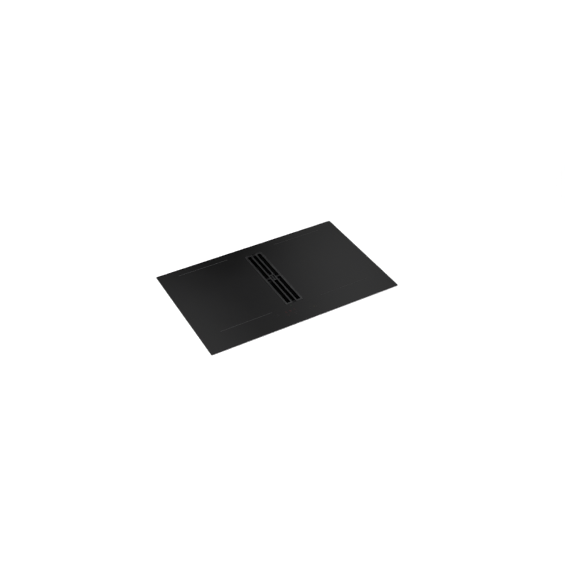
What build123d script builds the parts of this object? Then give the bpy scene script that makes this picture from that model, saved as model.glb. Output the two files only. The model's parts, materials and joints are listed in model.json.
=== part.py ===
from build123d import *
import os
from math import cos, pi, radians, sin

# A downdraft induction cooktop. Millimetres, X along the front edge, Y to the back, Z up.
# The origin is the middle of the glass in plan, at the worktop surface that the rim seal lies on.

# Glass and rim
glass_width = 830.0
glass_depth = 520.0
glass_thick = 4.0
glass_corner = 4.0
glass_bevel = 0.5
seal_thick = 1.0
seal_inset = 3.0
seal_band = 8.0
glass_top_z = seal_thick + glass_thick

# Intake grille, two loops and a hub that drop into the glass
inlet_y = 27.0
grille_width = 76.0
grille_length = 351.5
grille_proud = 0.5
grille_high = 10.0
grille_corner = 5.0
grille_edge = 0.6
grille_gap = 1.0
loop_width = 29.9
outer_bar = 7.2
inner_bar = 5.6
cross_bar = 8.0
cross_bar_drop = 0.8
end_tie = 10.5
end_tie_drop = 2.0
hub_length = 37.0
hub_rim = 4.8
hub_depth = 6.0
hub_overlap = 2.0
grip_bar = 5.0
grip_bar_drop = 0.3
inlay_thick = 1.0
pad_thick = 0.5
chute_mouth = 1.5
grille_top_z = glass_top_z + grille_proud
grille_low_z = grille_top_z - grille_high

# Casing under the worktop
case_width = 800.0
case_depth = 485.0
case_corner = 6.0
case_top_z = -0.5
case_bottom_z = -57.0
sheet = 1.0
case_lip = 12.0
case_floor_z = case_bottom_z + sheet
bond_band = 8.0
bond_inset = 2.0
vent_count = 28
vent_pitch = 8.0
vent_width = 3.5
vent_z = (-42.0, -20.0)
vent_start = 140.0
floor_vent_count = 8
floor_vent_size = (50.0, 3.5)
clip_y = 130.0
clip_screw_z = -11.0
clip_bulge = 2.6
clip_thick = 0.8
clip_width = 20.0
screw_hole = 2.1

# Air chute that lines the inlet
chute_width = 70.0
chute_length = 341.0
chute_wall = 2.0
chute_flange = 9.0
ledge_z = grille_low_z - pad_thick
filter_seat_z = -48.0
filter_seat_reach = 8.0

# Grease filter and drip tray
filter_width = 65.0
filter_length = 335.0
filter_high = 40.5
filter_rim = 4.0
filter_rim_high = 3.0
filter_foot_high = 2.0
filter_lift_off = 0.1
filter_post = (1.2, 8.0)
filter_post_pitch = 64.0
mesh_thick = 1.2
mesh_slot = 3.6
mesh_pitch = 13.0
tray_width = 60.0
tray_length = 317.0
tray_high = 12.0
tray_wall = 1.2
tray_low_z = -84.0
tray_tab = (24.0, 20.0)
tray_saddle_y = 143.0

# Heating, two coils on each side
coil_centre_x = 221.5
coil_centre_y = 29.75
coil_step = 190.0
coil_width = 214.0
coil_depth = 180.0
coil_corner = 58.0
coil_thick = 7.0
coil_eye_width = 70.0
coil_eye_depth = 40.0
mica_thick = 0.5
former_thick = 2.0
ferrite_size = (50.0, 12.0, 5.0)
ferrite_reach = 53.0
ferrites_per_coil = 8
sensor_radius = 7.0
carrier_width = 250.0
carrier_depth = 386.0
carrier_thick = 1.5
carrier_rim = 6.0
pillar_size = (30.0, 14.0)
pillar_reach = (95.0, 180.0)
pillar_top_z = -19.5
leaf_thick = 0.6

# Electronics on the casing floor
board_thick = 1.6
standoff_high = 6.0
board_z = case_floor_z + standoff_high
board_top_z = board_z + board_thick
power_board_size = (190.0, 230.0)
power_board_at = (170.0, -5.0)
mains_board_size = (190.0, 66.0)
mains_board_at = (-170.0, 164.0)
board_hole_inset = 10.0
sink_size = (180.0, 44.0, 24.0)
sink_fins = 11
sink_y = 60.0
can_radius = 10.0
can_high = 22.0
choke_radius = 18.0
choke_bore = 9.0
choke_high = 20.0
relay_size = (12.0, 30.0, 16.0)
module_size = (36.0, 24.0, 20.0)
touch_width = 240.0
touch_depth = 66.0
touch_y = -195.0
touch_low_z = -12.0

# Cooling fans
fan_at = (325.0, 60.0)
fan_size = 90.0
fan_high = 28.0
fan_cavity_radius = 40.0
fan_inlet_radius = 30.0
fan_rotor_radius = 36.0
fan_hub_radius = 14.0
fan_blade_root = 19.0
fan_pin_radius = 2.0
fan_blades = 17
running_gap = 0.05

# Mains connection
gland_at = (-365.0, 208.0)
gland_bore = 5.5
gland_thread = 10.0
gland_across = 26.0
terminal_size = (46.0, 34.0, 24.0)
terminal_at = (-365.0, 166.0)

# Blower under the casing
blower_at = (0.0, 28.5)
housing_wall = 2.5
housing_low_z = -205.0
lid_z = -108.0
lid_thick = 3.0
scroll_start = 112.0
scroll_step = 15.0
plenum_width = 250.0
plenum_length = 362.0
plenum_gasket = 2.0
plenum_flange = 12.0
plenum_flange_thick = 2.5
plenum_corner = 12.0
throat_radius = 66.0
lug_radius = 6.0
lug_high = 24.0
rib_thick = 2.0
rib_reach = 2.4
rib_turns = (5, 42, 78)
band_z = (-165.0, -161.0)
impeller_radius = 95.0
impeller_eye = 68.0
impeller_low_z = -196.5
impeller_top_z = -116.0
impeller_sheet = 2.0
impeller_blades = 11
impeller_crown_z = -155.0
blade_lead = 2.0

# Outer-rotor motor inside the impeller hub
motor_radius = 39.5
cup_wall = 2.0
cup_z = (-194.0, -157.2)
magnet_z = (-192.0, -165.0)
magnet_thick = 4.0
stator_z = (-191.0, -166.0)
stator_teeth = 9
shaft_radius = 3.0
shaft_z = (-197.0, -147.0)
bearing_z = (-194.0, -172.0)
bearing_high = 6.0
bearing_wall = 3.0
base_radius = 50.0
base_thick = 2.0
bush_high = 2.0
bush_circle = 43.0
bush_radius = 6.0
bush_stud = 3.0
duct_width = 222.0
duct_height = 89.0
duct_wall = 2.5
duct_z = -155.25
duct_face_y = 215.5
duct_end_y = 252.0
duct_flange = 12.0
duct_flange_thick = 3.0
duct_seal_thick = 1.5
joint_lip = 3.0
joint_lip_high = 4.0

# Control box of the blower and its lead
driver_at = (-205.0, -30.0)
driver_size = (90.0, 120.0)
driver_low_z = -92.0
driver_wall = 2.0
driver_ear = (18.0, 14.0, 3.0)
driver_vents = 9
lead_radius = 3.0
lead_x = -178.0
lead_low_z = -140.0
lead_bend = 20.0


def block(x0, x1, y0, y1, z0, z1):
    """A box between two opposite corners, given in either order."""
    middle = Pos((x0 + x1) / 2, (y0 + y1) / 2, (z0 + z1) / 2)
    return middle * Box(abs(x1 - x0), abs(y1 - y0), abs(z1 - z0))


def centred_block(at, size, z0):
    """A box centred in plan on a point, standing on height z0."""
    return Pos(at[0], at[1], z0 + size[2] / 2) * Box(*size)


def slab(width, depth, corner, z0, z1, at=(0.0, 0.0)):
    """A plate with rounded corners between two heights."""
    outline = Pos(at[0], at[1], z0) * RectangleRounded(width, depth, corner)
    return extrude(outline, z1 - z0)


def frame_ring(width, depth, corner, band, z0, z1, at=(0.0, 0.0)):
    """A closed rectangular band of even width."""
    inner_corner = max(corner - band, 1.0)
    inner = slab(width - 2 * band, depth - 2 * band, inner_corner, z0, z1, at)
    return slab(width, depth, corner, z0, z1, at) - inner


def rod(x, y, radius, z0, z1):
    """An upright round bar between two heights."""
    return Pos(x, y, (z0 + z1) / 2) * Cylinder(radius, z1 - z0)


def pipe(x, y, outer, inner, z0, z1):
    """An upright round tube between two heights."""
    return rod(x, y, outer, z0, z1) - rod(x, y, inner, z0, z1)


def across_rod(x, y, z, radius, length):
    """A round bar along X, centred on a point."""
    return Pos(x, y, z) * Rot(0, 90, 0) * Cylinder(radius, length)


def along_rod(x, y, z, radius, length):
    """A round bar along Y, centred on a point."""
    return Pos(x, y, z) * Rot(90, 0, 0) * Cylinder(radius, length)


def hexagon(at, across, z0, z1):
    """An upright hexagonal bar, sized across its flats."""
    outline = Pos(at[0], at[1], z0) * RegularPolygon(across / 2, 6, major_radius=False)
    return extrude(outline, z1 - z0)


def save(node, *shapes):
    """Write the solids of a node to its own file."""
    solids = [solid for shape in shapes for solid in shape.solids()]
    whole = solids[0] if len(solids) == 1 else Compound(solids)
    export_step(whole, f"parts/{node}.step")


def mirrored(shape):
    """The same piece on the left-hand side."""
    return mirror(shape, Plane.YZ)


# Glass, seal and casing

def glass_top():
    plate = slab(glass_width, glass_depth, glass_corner, seal_thick, glass_top_z)
    hole = slab(grille_width + 2 * grille_gap, grille_length + 2 * grille_gap,
                grille_corner + grille_gap, 0, glass_top_z + 1, (0, inlet_y))
    plate -= hole
    faces = plate.faces().sort_by(Axis.Z)
    return chamfer(faces[-1].edges() + faces[0].edges(), glass_bevel)


def rim_seal():
    width = glass_width - 2 * seal_inset
    depth = glass_depth - 2 * seal_inset
    return frame_ring(width, depth, 5, seal_band, 0, seal_thick)


def glass_bond():
    width, depth = case_width - 2 * bond_inset, case_depth - 2 * bond_inset
    return frame_ring(width, depth, 5, bond_band, case_top_z, seal_thick)


def vent_row(start, y):
    """Upright slots through the front or back wall."""
    return [block(start + vent_pitch * i, start + vent_pitch * i + vent_width, y - 2, y + 2, *vent_z)
            for i in range(vent_count)]


def wall_vents():
    half = case_depth / 2
    reach = vent_pitch * (vent_count - 1) + vent_width
    left = -vent_start - reach
    return vent_row(vent_start, -half) + vent_row(left, -half) + vent_row(vent_start, half)


def floor_vents(side):
    """Slots in the floor under a cooling fan."""
    slots = []
    for i in range(floor_vent_count):
        y = fan_at[1] + vent_pitch * (i - (floor_vent_count - 1) / 2)
        size = (*floor_vent_size, 3 * sheet)
        slots.append(centred_block((side * fan_at[0], y), size, case_bottom_z - sheet))
    return slots


def floor_holes(spots, radius):
    return [rod(x, y, radius, case_bottom_z - sheet, case_floor_z + sheet) for x, y in spots]


def casing():
    """The sheet steel pan, with a lip turned in at the top for the glass."""
    pan = slab(case_width, case_depth, case_corner, case_bottom_z, case_top_z)
    pan -= slab(case_width - 2 * sheet, case_depth - 2 * sheet, case_corner - sheet, case_floor_z,
                case_top_z - sheet)
    pan -= slab(case_width - 2 * case_lip, case_depth - 2 * case_lip, 4, case_top_z - 2 * sheet, sheet)
    clear = chute_width + 2 * chute_wall + 2
    long_clear = chute_length + 2 * chute_wall + 2
    pan -= slab(clear, long_clear, 9, case_bottom_z - 1, case_floor_z + 1, (0, inlet_y))
    gland_window = centred_block((gland_at[0], gland_at[1] + 1), (46, 38, 3 * sheet), case_bottom_z - sheet)
    cuts = wall_vents() + floor_vents(-1) + floor_vents(1) + [gland_window]
    cuts += floor_holes(plenum_screw_spots() + driver_screw_spots(), screw_hole)
    cuts += [across_rod(x, y, clip_screw_z, screw_hole, 6) for x, y in clip_spots()]
    return pan - cuts


def clip_spots():
    edge = case_width / 2
    return [(sx * edge, sy * clip_y) for sx in (-1, 1) for sy in (-1, 1)]


def worktop_clip(side, y):
    """A sprung strip on the casing wall that grips the edge of the worktop cut-out."""
    wall = case_width / 2
    outer_wall = wall + clip_thick
    top_z, knee_z, crown_z, foot_z = -4, -18, -31, -44
    high = Line((wall, top_z), (wall, knee_z))
    bulge = ThreePointArc((wall, knee_z), (wall + clip_bulge, crown_z), (wall, foot_z))
    foot = Line((wall, foot_z), (outer_wall, foot_z))
    outer = ThreePointArc((outer_wall, foot_z), (outer_wall + clip_bulge, crown_z), (outer_wall, knee_z))
    back = Line((outer_wall, knee_z), (outer_wall, top_z))
    top = Line((outer_wall, top_z), (wall, top_z))
    face = make_face(high + bulge + foot + outer + back + top)
    strip = Pos(0, y + clip_width / 2, 0) * Rot(90, 0, 0) * extrude(face, clip_width)
    strip -= across_rod(wall, y, clip_screw_z, screw_hole, 4)
    return strip if side > 0 else mirrored(strip)


def clip_screws():
    face = case_width / 2 + clip_thick
    head_high = 1.8
    screws = []
    for x, y in clip_spots():
        side = 1 if x > 0 else -1
        head = across_rod(side * (face + head_high / 2), y, clip_screw_z, 4, head_high)
        head -= Pos(side * (face + head_high), y, clip_screw_z) * Box(1.2, 6, 1.0)
        screws.append(head + across_rod(side * (face - 3.5), y, clip_screw_z, 2, 7))
    return screws


# Inlet chute, filter and tray

def chute():
    at = (0, inlet_y)
    upper_width = grille_width + 2 * chute_mouth
    upper_length = grille_length + 2 * chute_mouth
    tube = slab(chute_width + 2 * chute_wall, chute_length + 2 * chute_wall, 8, case_bottom_z, ledge_z, at)
    collar = slab(upper_width + 2 * chute_wall, upper_length + 2 * chute_wall, 8, ledge_z - chute_wall,
                  case_top_z, at)
    reach = chute_wall + chute_flange
    flange = slab(upper_width + 2 * reach, upper_length + 2 * reach, 10,
                  case_top_z - chute_wall, case_top_z, at)
    body = tube + collar + flange
    body -= slab(upper_width, upper_length, 6, ledge_z, 1, at)
    body -= slab(chute_width, chute_length, 6, case_bottom_z - 1, ledge_z + 1, at)
    for end in (-1, 1):
        wall = inlet_y + end * chute_length / 2
        near = wall - end * filter_seat_reach
        body += block(-chute_width / 2, chute_width / 2, wall, near, filter_seat_z - 2, filter_seat_z)
    return body


def chute_gasket():
    margin = chute_mouth + chute_wall + chute_flange - 1
    width = grille_width + 2 * margin
    length = grille_length + 2 * margin
    return frame_ring(width, length, 9, 7, case_top_z, seal_thick, (0, inlet_y))


def loop_outline(side, z0, z1):
    x = side * (grille_width / 2 - loop_width / 2)
    return slab(loop_width, grille_length, grille_corner, z0, z1, (x, inlet_y))


def loop_slot(side):
    inner = grille_width / 2 - loop_width + inner_bar
    outer = grille_width / 2 - outer_bar
    x = side * (inner + outer) / 2
    length = grille_length - 2 * outer_bar
    return slab(outer - inner, length, 2, grille_low_z - 1, grille_top_z + 1, (x, inlet_y))


def grille():
    body = None
    gap = grille_width / 2 - loop_width
    for side in (-1, 1):
        loop = loop_outline(side, grille_low_z, grille_top_z) - loop_slot(side)
        edges = loop.faces().sort_by(Axis.Z)[-1].edges()
        loop = fillet(edges, grille_edge)
        inner = side * (gap + inner_bar - 0.5)
        outer = side * (grille_width / 2 - outer_bar + 0.5)
        loop += block(inner, outer, inlet_y - cross_bar / 2, inlet_y + cross_bar / 2,
                      grille_low_z, grille_top_z - cross_bar_drop)
        body = loop if body is None else body + loop
    for end in (-1, 1):
        wall = inlet_y + end * grille_length / 2
        near = wall - end * end_tie
        body += block(-gap - 1, gap + 1, wall, near, grille_low_z, grille_top_z - end_tie_drop)
    reach = gap + hub_overlap
    floor = grille_top_z - hub_depth
    hub = slab(2 * reach, hub_length, 3, grille_low_z, grille_top_z, (0, inlet_y))
    hub = fillet(hub.faces().sort_by(Axis.Z)[-1].edges(), grille_edge)
    hub -= slab(2 * gap, hub_length - 2 * hub_rim, 2, floor, grille_top_z + 1, (0, inlet_y))
    near = inlet_y - hub_length / 2 + 1
    far = inlet_y + hub_length / 2 - 1
    hub += block(-grip_bar / 2, grip_bar / 2, near, far, floor - 1, grille_top_z - grip_bar_drop)
    return body + hub


def grille_inlay():
    """Two dark strips on the floor of the hub, one on each side of its grip bar."""
    width = 2 * (grille_width / 2 - loop_width) - 0.2
    length = hub_length - 2 * hub_rim - 0.2
    low = grille_top_z - hub_depth
    plate = slab(width, length, 1.9, low, low + inlay_thick, (0, inlet_y))
    cut = grip_bar / 2 + 0.1
    plate -= block(-cut, cut, inlet_y - length, inlet_y + length, low - 1, low + inlay_thick + 1)
    return list(plate.solids())


def grille_pads():
    pads = []
    for side in (-1, 1):
        x = side * (grille_width / 2 - 1.6)
        for step in (-1, 0, 1):
            y = inlet_y + step * (grille_length / 2 - 30)
            pads.append(centred_block((x, y), (2.6, 24, pad_thick - 0.1), grille_low_z - pad_thick + 0.1))
    return pads


def ring_bars(width, length, band, z0, z1, at):
    """A rectangular frame as four bars that butt at the corners."""
    half_width, half_length = width / 2, length / 2
    bars = []
    for end in (-1, 1):
        outer = at[0] + end * half_width
        side_bar = block(outer, outer - end * band, at[1] - half_length, at[1] + half_length, z0, z1)
        far_edges = side_bar.edges().filter_by(Axis.Z).sort_by(Axis.X)
        bars.append(fillet(far_edges[2:] if end > 0 else far_edges[:2], 3))
        outer = at[1] + end * half_length
        inner_x = half_width - band
        bars.append(block(at[0] - inner_x, at[0] + inner_x, outer, outer - end * band, z0, z1))
    return bars


def filter_frame():
    """The frame of the grease filter: an upper rim, a foot and upright strips between them."""
    at = (0, inlet_y)
    low = filter_seat_z + filter_lift_off
    foot_top = low + filter_foot_high
    top = low + filter_high
    rim_low = top - filter_rim_high
    bars = ring_bars(filter_width, filter_length, filter_rim, rim_low, top, at)
    bars += ring_bars(filter_width, filter_length, filter_rim, low, foot_top, at)
    thick, wide = filter_post
    for side in (-1, 1):
        for i in range(6):
            x = side * (filter_width - thick) / 2
            y = inlet_y + (i - 2.5) * filter_post_pitch
            bars.append(centred_block((x, y), (thick, wide, rim_low - foot_top), foot_top))
    return bars


def filter_mesh():
    """The trough of grease mesh that stands on the foot of the frame, drawn as slotted sheet."""
    at = (0, inlet_y)
    low = filter_seat_z + filter_lift_off + filter_foot_high
    top = filter_seat_z + filter_lift_off + filter_high - filter_rim_high
    width = filter_width - 2 * filter_post[0] - 0.2
    length = filter_length - 2 * filter_rim - 0.4
    trough = slab(width, length, 4, low, top, at)
    trough -= slab(width - 2 * mesh_thick, length - 2 * mesh_thick, 3, low + mesh_thick, top + 1, at)
    slots = []
    for i in range(24):
        y = inlet_y + (i - 11.5) * mesh_pitch
        for side in (-1, 1):
            slots.append(centred_block((side * 14, y), (20, mesh_slot, 4), low - 1))
            slots.append(centred_block((side * width / 2, y), (6, mesh_slot, 22), low + 6))
    return trough - slots


def filter_grip():
    """The bar across the rim of the filter, with a hole for two fingers."""
    low = filter_seat_z + filter_lift_off + filter_high - filter_rim_high
    bar = centred_block((0, inlet_y), (filter_width - 2 * filter_rim, 20, filter_rim_high), low)
    return bar - slab(26, 12, 4, low - 1, low + filter_rim_high + 1, (0, inlet_y))


def drip_tray():
    """The shallow tray under the filter, with a lifting tab at each end."""
    at = (0, inlet_y)
    top = tray_low_z + tray_high
    trough = slab(tray_width, tray_length, 6, tray_low_z, top, at)
    trough -= slab(tray_width - 2 * tray_wall, tray_length - 2 * tray_wall, 6 - tray_wall,
                   tray_low_z + tray_wall, top + 1, at)
    tab_width, tab_high = tray_tab
    for end in (-1, 1):
        wall = inlet_y + end * tray_length / 2
        middle = wall - end * tray_wall / 2
        inside = wall - end * tray_wall
        tab = block(-tab_width / 2, tab_width / 2, wall, inside, top - 1, tray_low_z + tab_high)
        trough += tab - along_rod(0, middle, tray_low_z + tab_high - 5, 3, 2 * tray_wall)
    return trough


# Heating

def coil_centres(side):
    return [(side * coil_centre_x, coil_centre_y + step * coil_step / 2) for step in (-1, 1)]


def all_coil_centres():
    return coil_centres(-1) + coil_centres(1)


def winding(at):
    """The flat wire winding of one coil, with the eye open for the sensor."""
    top = seal_thick - mica_thick
    outer = slab(coil_width, coil_depth, coil_corner, top - coil_thick, top, at)
    return outer - slab(coil_eye_width, coil_eye_depth, 15, top - coil_thick, top, at)


def former(at):
    """The plastic plate under a winding, with a raised edge around it."""
    low = seal_thick - mica_thick - coil_thick - former_thick
    plate = slab(coil_width + 6, coil_depth + 6, coil_corner + 3, low, low + former_thick, at)
    edge = frame_ring(coil_width + 6, coil_depth + 6, coil_corner + 3, 2.5, low, low + former_thick + 4, at)
    return plate + edge - rod(*at, 5, low - 1, low + former_thick + 1)


def ferrites(at):
    top = seal_thick - mica_thick - coil_thick - former_thick
    bars = []
    middle = Pos(at[0], at[1], top - ferrite_size[2] / 2)
    bar = Pos(ferrite_reach, 0, 0) * Box(*ferrite_size)
    for i in range(ferrites_per_coil):
        bars.append(middle * Rot(0, 0, 360 / ferrites_per_coil * i) * bar)
    return bars


def mica(at):
    sheet_shape = slab(coil_width, coil_depth, coil_corner, seal_thick - mica_thick, seal_thick, at)
    return sheet_shape - rod(*at, sensor_radius + 2, 0, 2)


def sensor(at):
    low = seal_thick - mica_thick - coil_thick
    return rod(*at, sensor_radius, low, seal_thick)


def carrier(side):
    """The aluminium tray that two coils lie on, with its edge turned down."""
    top = seal_thick - mica_thick - coil_thick - former_thick - ferrite_size[2]
    at = (side * coil_centre_x, coil_centre_y)
    plate = slab(carrier_width, carrier_depth, 10, top - carrier_thick, top, at)
    low = top - carrier_thick - carrier_rim
    rim = frame_ring(carrier_width, carrier_depth, 10, carrier_thick, low, top, at)
    tray = plate + rim
    for x, y in coil_centres(side):
        tray -= rod(x, y, 8, top - 3, top + 1)
        tray -= slab(12, 40, 5, top - 3, top + 1, (x - side * 88, y))
    return tray


def pillar_spots():
    return [(side * (coil_centre_x + sx * pillar_reach[0]), coil_centre_y + sy * pillar_reach[1])
            for side in (-1, 1) for sx in (-1, 1) for sy in (-1, 1)]


def pillar(at):
    """A hollow plastic block that carries one corner of a coil tray."""
    high = pillar_top_z - case_floor_z
    body = centred_block(at, (pillar_size[0], pillar_size[1], high), case_floor_z)
    return body - centred_block(at, (pillar_size[0] - 6, pillar_size[1] - 5, high - 4), case_floor_z)


def leaf_spring(at):
    """An arched strip that presses a coil tray up against the glass."""
    half = pillar_size[0] / 2 - 2
    crown = seal_thick - mica_thick - coil_thick - former_thick - ferrite_size[2] - carrier_thick - 0.02
    base = pillar_top_z
    outer = ThreePointArc((-half, base + leaf_thick), (0, crown), (half, base + leaf_thick))
    right = Line((half, base + leaf_thick), (half, base))
    inner = ThreePointArc((half, base), (0, crown - leaf_thick), (-half, base))
    left = Line((-half, base), (-half, base + leaf_thick))
    strip = extrude(make_face(outer + right + inner + left), 10)
    return Pos(at[0], at[1] + 5, 0) * Rot(90, 0, 0) * strip


# Electronics

def power_board(side):
    at = (side * power_board_at[0], power_board_at[1])
    return centred_block(at, (*power_board_size, board_thick), board_z)


def heat_sink(side):
    """A finned aluminium block on a power board, under the fan's air stream."""
    at = (side * power_board_at[0], sink_y)
    length, depth, high = sink_size
    sink = centred_block(at, (length, depth, 4), board_top_z)
    pitch = (depth - 2) / (sink_fins - 1)
    for i in range(sink_fins):
        y = sink_y + (i - (sink_fins - 1) / 2) * pitch
        sink += centred_block((at[0], y), (length, 1.2, high - 3), board_top_z + 3)
    return sink


def choke(x, y, high):
    return pipe(x, y, choke_radius, choke_bore, board_top_z, board_top_z + high)


def board_parts(side):
    """Capacitors, relays, modules and chokes that stand on a power board."""
    parts = []
    for i in range(4):
        for j in range(2):
            x, y = side * (100 + 26 * i), -95 + 28 * j
            parts.append(rod(x, y, can_radius - 2 * j, board_top_z, board_top_z + can_high - 4 * j))
    parts += [centred_block((side * (215 + 17 * i), -82), relay_size, board_top_z) for i in range(3)]
    parts += [centred_block((side * 230, -35 + 34 * j), module_size, board_top_z) for j in range(2)]
    parts += [choke(side * x, -12, choke_high) for x in (120, 170)]
    return parts


def mains_board():
    return centred_block(mains_board_at, (*mains_board_size, board_thick), board_z)


def mains_parts():
    """Two chokes and three relays on the mains filter board."""
    x, y = mains_board_at
    parts = [choke(x - 60 + 42 * i, y, choke_high - 2) for i in range(2)]
    return parts + [centred_block((x + 24 + 24 * i, y + 8), relay_size, board_top_z) for i in range(3)]


def corner_spots(at, size, inset):
    half_width, half_depth = size[0] / 2 - inset, size[1] / 2 - inset
    return [(at[0] + sx * half_width, at[1] + sy * half_depth) for sx in (-1, 1) for sy in (-1, 1)]


def standoffs():
    spots = corner_spots(mains_board_at, mains_board_size, board_hole_inset)
    for side in (-1, 1):
        at = (side * power_board_at[0], power_board_at[1])
        spots += corner_spots(at, power_board_size, board_hole_inset)
    return [rod(x, y, 3.5, case_floor_z, board_z) for x, y in spots]


def touch_holder():
    outer = slab(touch_width, touch_depth, 4, touch_low_z, seal_thick, (0, touch_y))
    outer -= slab(touch_width - 4, touch_depth - 4, 3, touch_low_z + 1.5, seal_thick + 1, (0, touch_y))
    for x in (-90, -30, 30, 90):
        outer += centred_block((x, touch_y), (2, touch_depth - 3, 4), touch_low_z + 1)
    return outer


def touch_board():
    size = (touch_width - 6, touch_depth - 6, board_thick)
    return centred_block((0, touch_y), size, touch_low_z + 5)


def touch_pads():
    """The sprung sensing pads and the light guide between the touch board and the glass."""
    low = touch_low_z + 5 + board_thick
    pads = [pipe(-98 + 21.8 * i, touch_y - 14, 6, 4, low, seal_thick) for i in range(10)]
    guide = centred_block((-45, touch_y + 12), (62, 20, seal_thick - low), low)
    return pads + [guide]


# Cooling fans

def fan_housing(side):
    """The case of a cooling fan, open below and towards the boards, with the pin that its rotor turns on."""
    x, y = side * fan_at[0], fan_at[1]
    low = case_floor_z
    top = low + fan_high
    body = slab(fan_size, fan_size, 10, low, top, (x, y))
    body -= rod(x, y, fan_cavity_radius, low + 1.5, top - 2)
    body -= rod(x, y, fan_inlet_radius, low - 1, low + 2)
    body -= block(x - side * 10, x - side * (fan_size / 2 + 1), y - 28, y + 28, low + 3, top - 4)
    return body + rod(x, y, fan_pin_radius, low + 5, top - 1)


def fan_rotor(side):
    x, y = side * fan_at[0], fan_at[1]
    low = case_floor_z + 5
    top = case_floor_z + fan_high - 4
    rotor = rod(x, y, fan_hub_radius, low, top) + rod(x, y, fan_rotor_radius, top - 1.5, top)
    middle = Pos((fan_blade_root + fan_rotor_radius) / 2, 0, (low + top) / 2 - 0.5)
    blade = middle * Box(fan_rotor_radius - fan_blade_root, 1.2, top - low - 1)
    for i in range(fan_blades):
        rotor += Pos(x, y, 0) * Rot(0, 0, 360 / fan_blades * i) * blade
    return rotor - rod(x, y, fan_pin_radius + running_gap, low - 1, top + 1)


# Mains connection

def terminal_block():
    """Five clamps in a row, each with a screw shaft from above and a wire hole in the back."""
    x, y = terminal_at
    body = centred_block(terminal_at, terminal_size, case_floor_z)
    for i in range(5):
        clamp_x = x + 9 * (i - 2)
        body -= rod(clamp_x, y - 8, 3, case_floor_z + 8, case_floor_z + 30)
        body -= centred_block((clamp_x, y + 12), (5.5, 14, 8), case_floor_z + 5)
    return body


def terminal_cover():
    """The plate under the casing floor that the cable gland is fixed in."""
    cover = slab(56, 48, 3, case_bottom_z - 2, case_bottom_z, (gland_at[0], gland_at[1] + 1))
    return cover - rod(*gland_at, gland_thread + 0.1, case_bottom_z - 3, case_bottom_z + 1)


def cable_gland():
    face = case_bottom_z - 2
    body = hexagon(gland_at, gland_across, face - 8, face) + rod(*gland_at, gland_thread, face, face + 11)
    return body - rod(*gland_at, gland_bore, face - 9, face + 12)


def gland_nut():
    low = case_bottom_z
    nut = hexagon(gland_at, gland_across, low, low + 4)
    return nut - rod(*gland_at, gland_thread + 0.05, low - 1, low + 5)


def gland_cap():
    top = case_bottom_z - 10
    cap = hexagon(gland_at, gland_across - 1, top - 9, top)
    dome = Pos(gland_at[0], gland_at[1], top - 12) * Cone(8.5, 11.5, 6)
    return cap + dome - rod(*gland_at, gland_bore, top - 16, top + 1)


# Blower

def scroll_face(wall=0.0):
    """The scroll and its outlet in plan: three quarter arcs that grow, then a widening throat."""
    x, y = blower_at
    half = scroll_step / 2
    r1, r2, r3 = (scroll_start + scroll_step * i for i in range(3))
    c1 = (x - half, y - half)
    c2 = (x + half, y - half)
    c3 = (x + half, y + half)
    tongue = (c1[0], c1[1] + r1)
    left = (c1[0] - r1, c1[1])
    front = (c2[0], c2[1] - r2)
    right = (c3[0] + r3, c3[1])
    diagonal = cos(radians(45))
    arc1 = ThreePointArc(tongue, (c1[0] - r1 * diagonal, c1[1] + r1 * diagonal), left)
    arc2 = ThreePointArc(left, (c2[0] - r2 * diagonal, c2[1] - r2 * diagonal), front)
    arc3 = ThreePointArc(front, (c3[0] + r3 * diagonal, c3[1] - r3 * diagonal), right)
    mouth = duct_face_y - housing_wall
    edge = duct_width / 2
    side = Line(right, (right[0], 130))
    taper = Line((right[0], 130), (edge, mouth))
    across = Line((edge, mouth), (-edge, mouth))
    back = Line((-edge, mouth), tongue)
    face = make_face(arc1 + arc2 + arc3 + side + taper + across + back)
    return offset(face, wall) if wall else face


def around_scroll(turns, reach):
    """Points around the round part of the scroll wall, with the direction of each from its arc's centre."""
    half = scroll_step / 2
    spots = []
    for i, (cx, cy) in enumerate([(-half, -half), (half, -half), (half, half)]):
        radius = scroll_start + scroll_step * i + housing_wall + reach
        for turn in turns:
            degrees = 90 + 90 * i + turn
            angle = radians(degrees)
            x = blower_at[0] + cx + radius * cos(angle)
            spots.append((x, blower_at[1] + cy + radius * sin(angle), degrees))
    return spots


def scroll_lug_spots():
    return [(x, y) for x, y, degrees in around_scroll((25, 60), lug_radius - 1.5)]


def duct_window(y0, y1):
    half_width = duct_width / 2 - duct_wall
    half_height = duct_height / 2 - duct_wall
    return block(-half_width, half_width, y0, y1, duct_z - half_height, duct_z + half_height)


def scroll_ribs():
    """Upright ribs on the outside of the scroll wall."""
    ribs = []
    for x, y, degrees in around_scroll(rib_turns, rib_reach / 2 - 0.5):
        high = lid_z - housing_low_z
        middle = Pos(x, y, housing_low_z + high / 2)
        ribs.append(middle * Rot(0, 0, degrees) * Box(rib_reach + 1, rib_thick, high))
    return ribs


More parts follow.
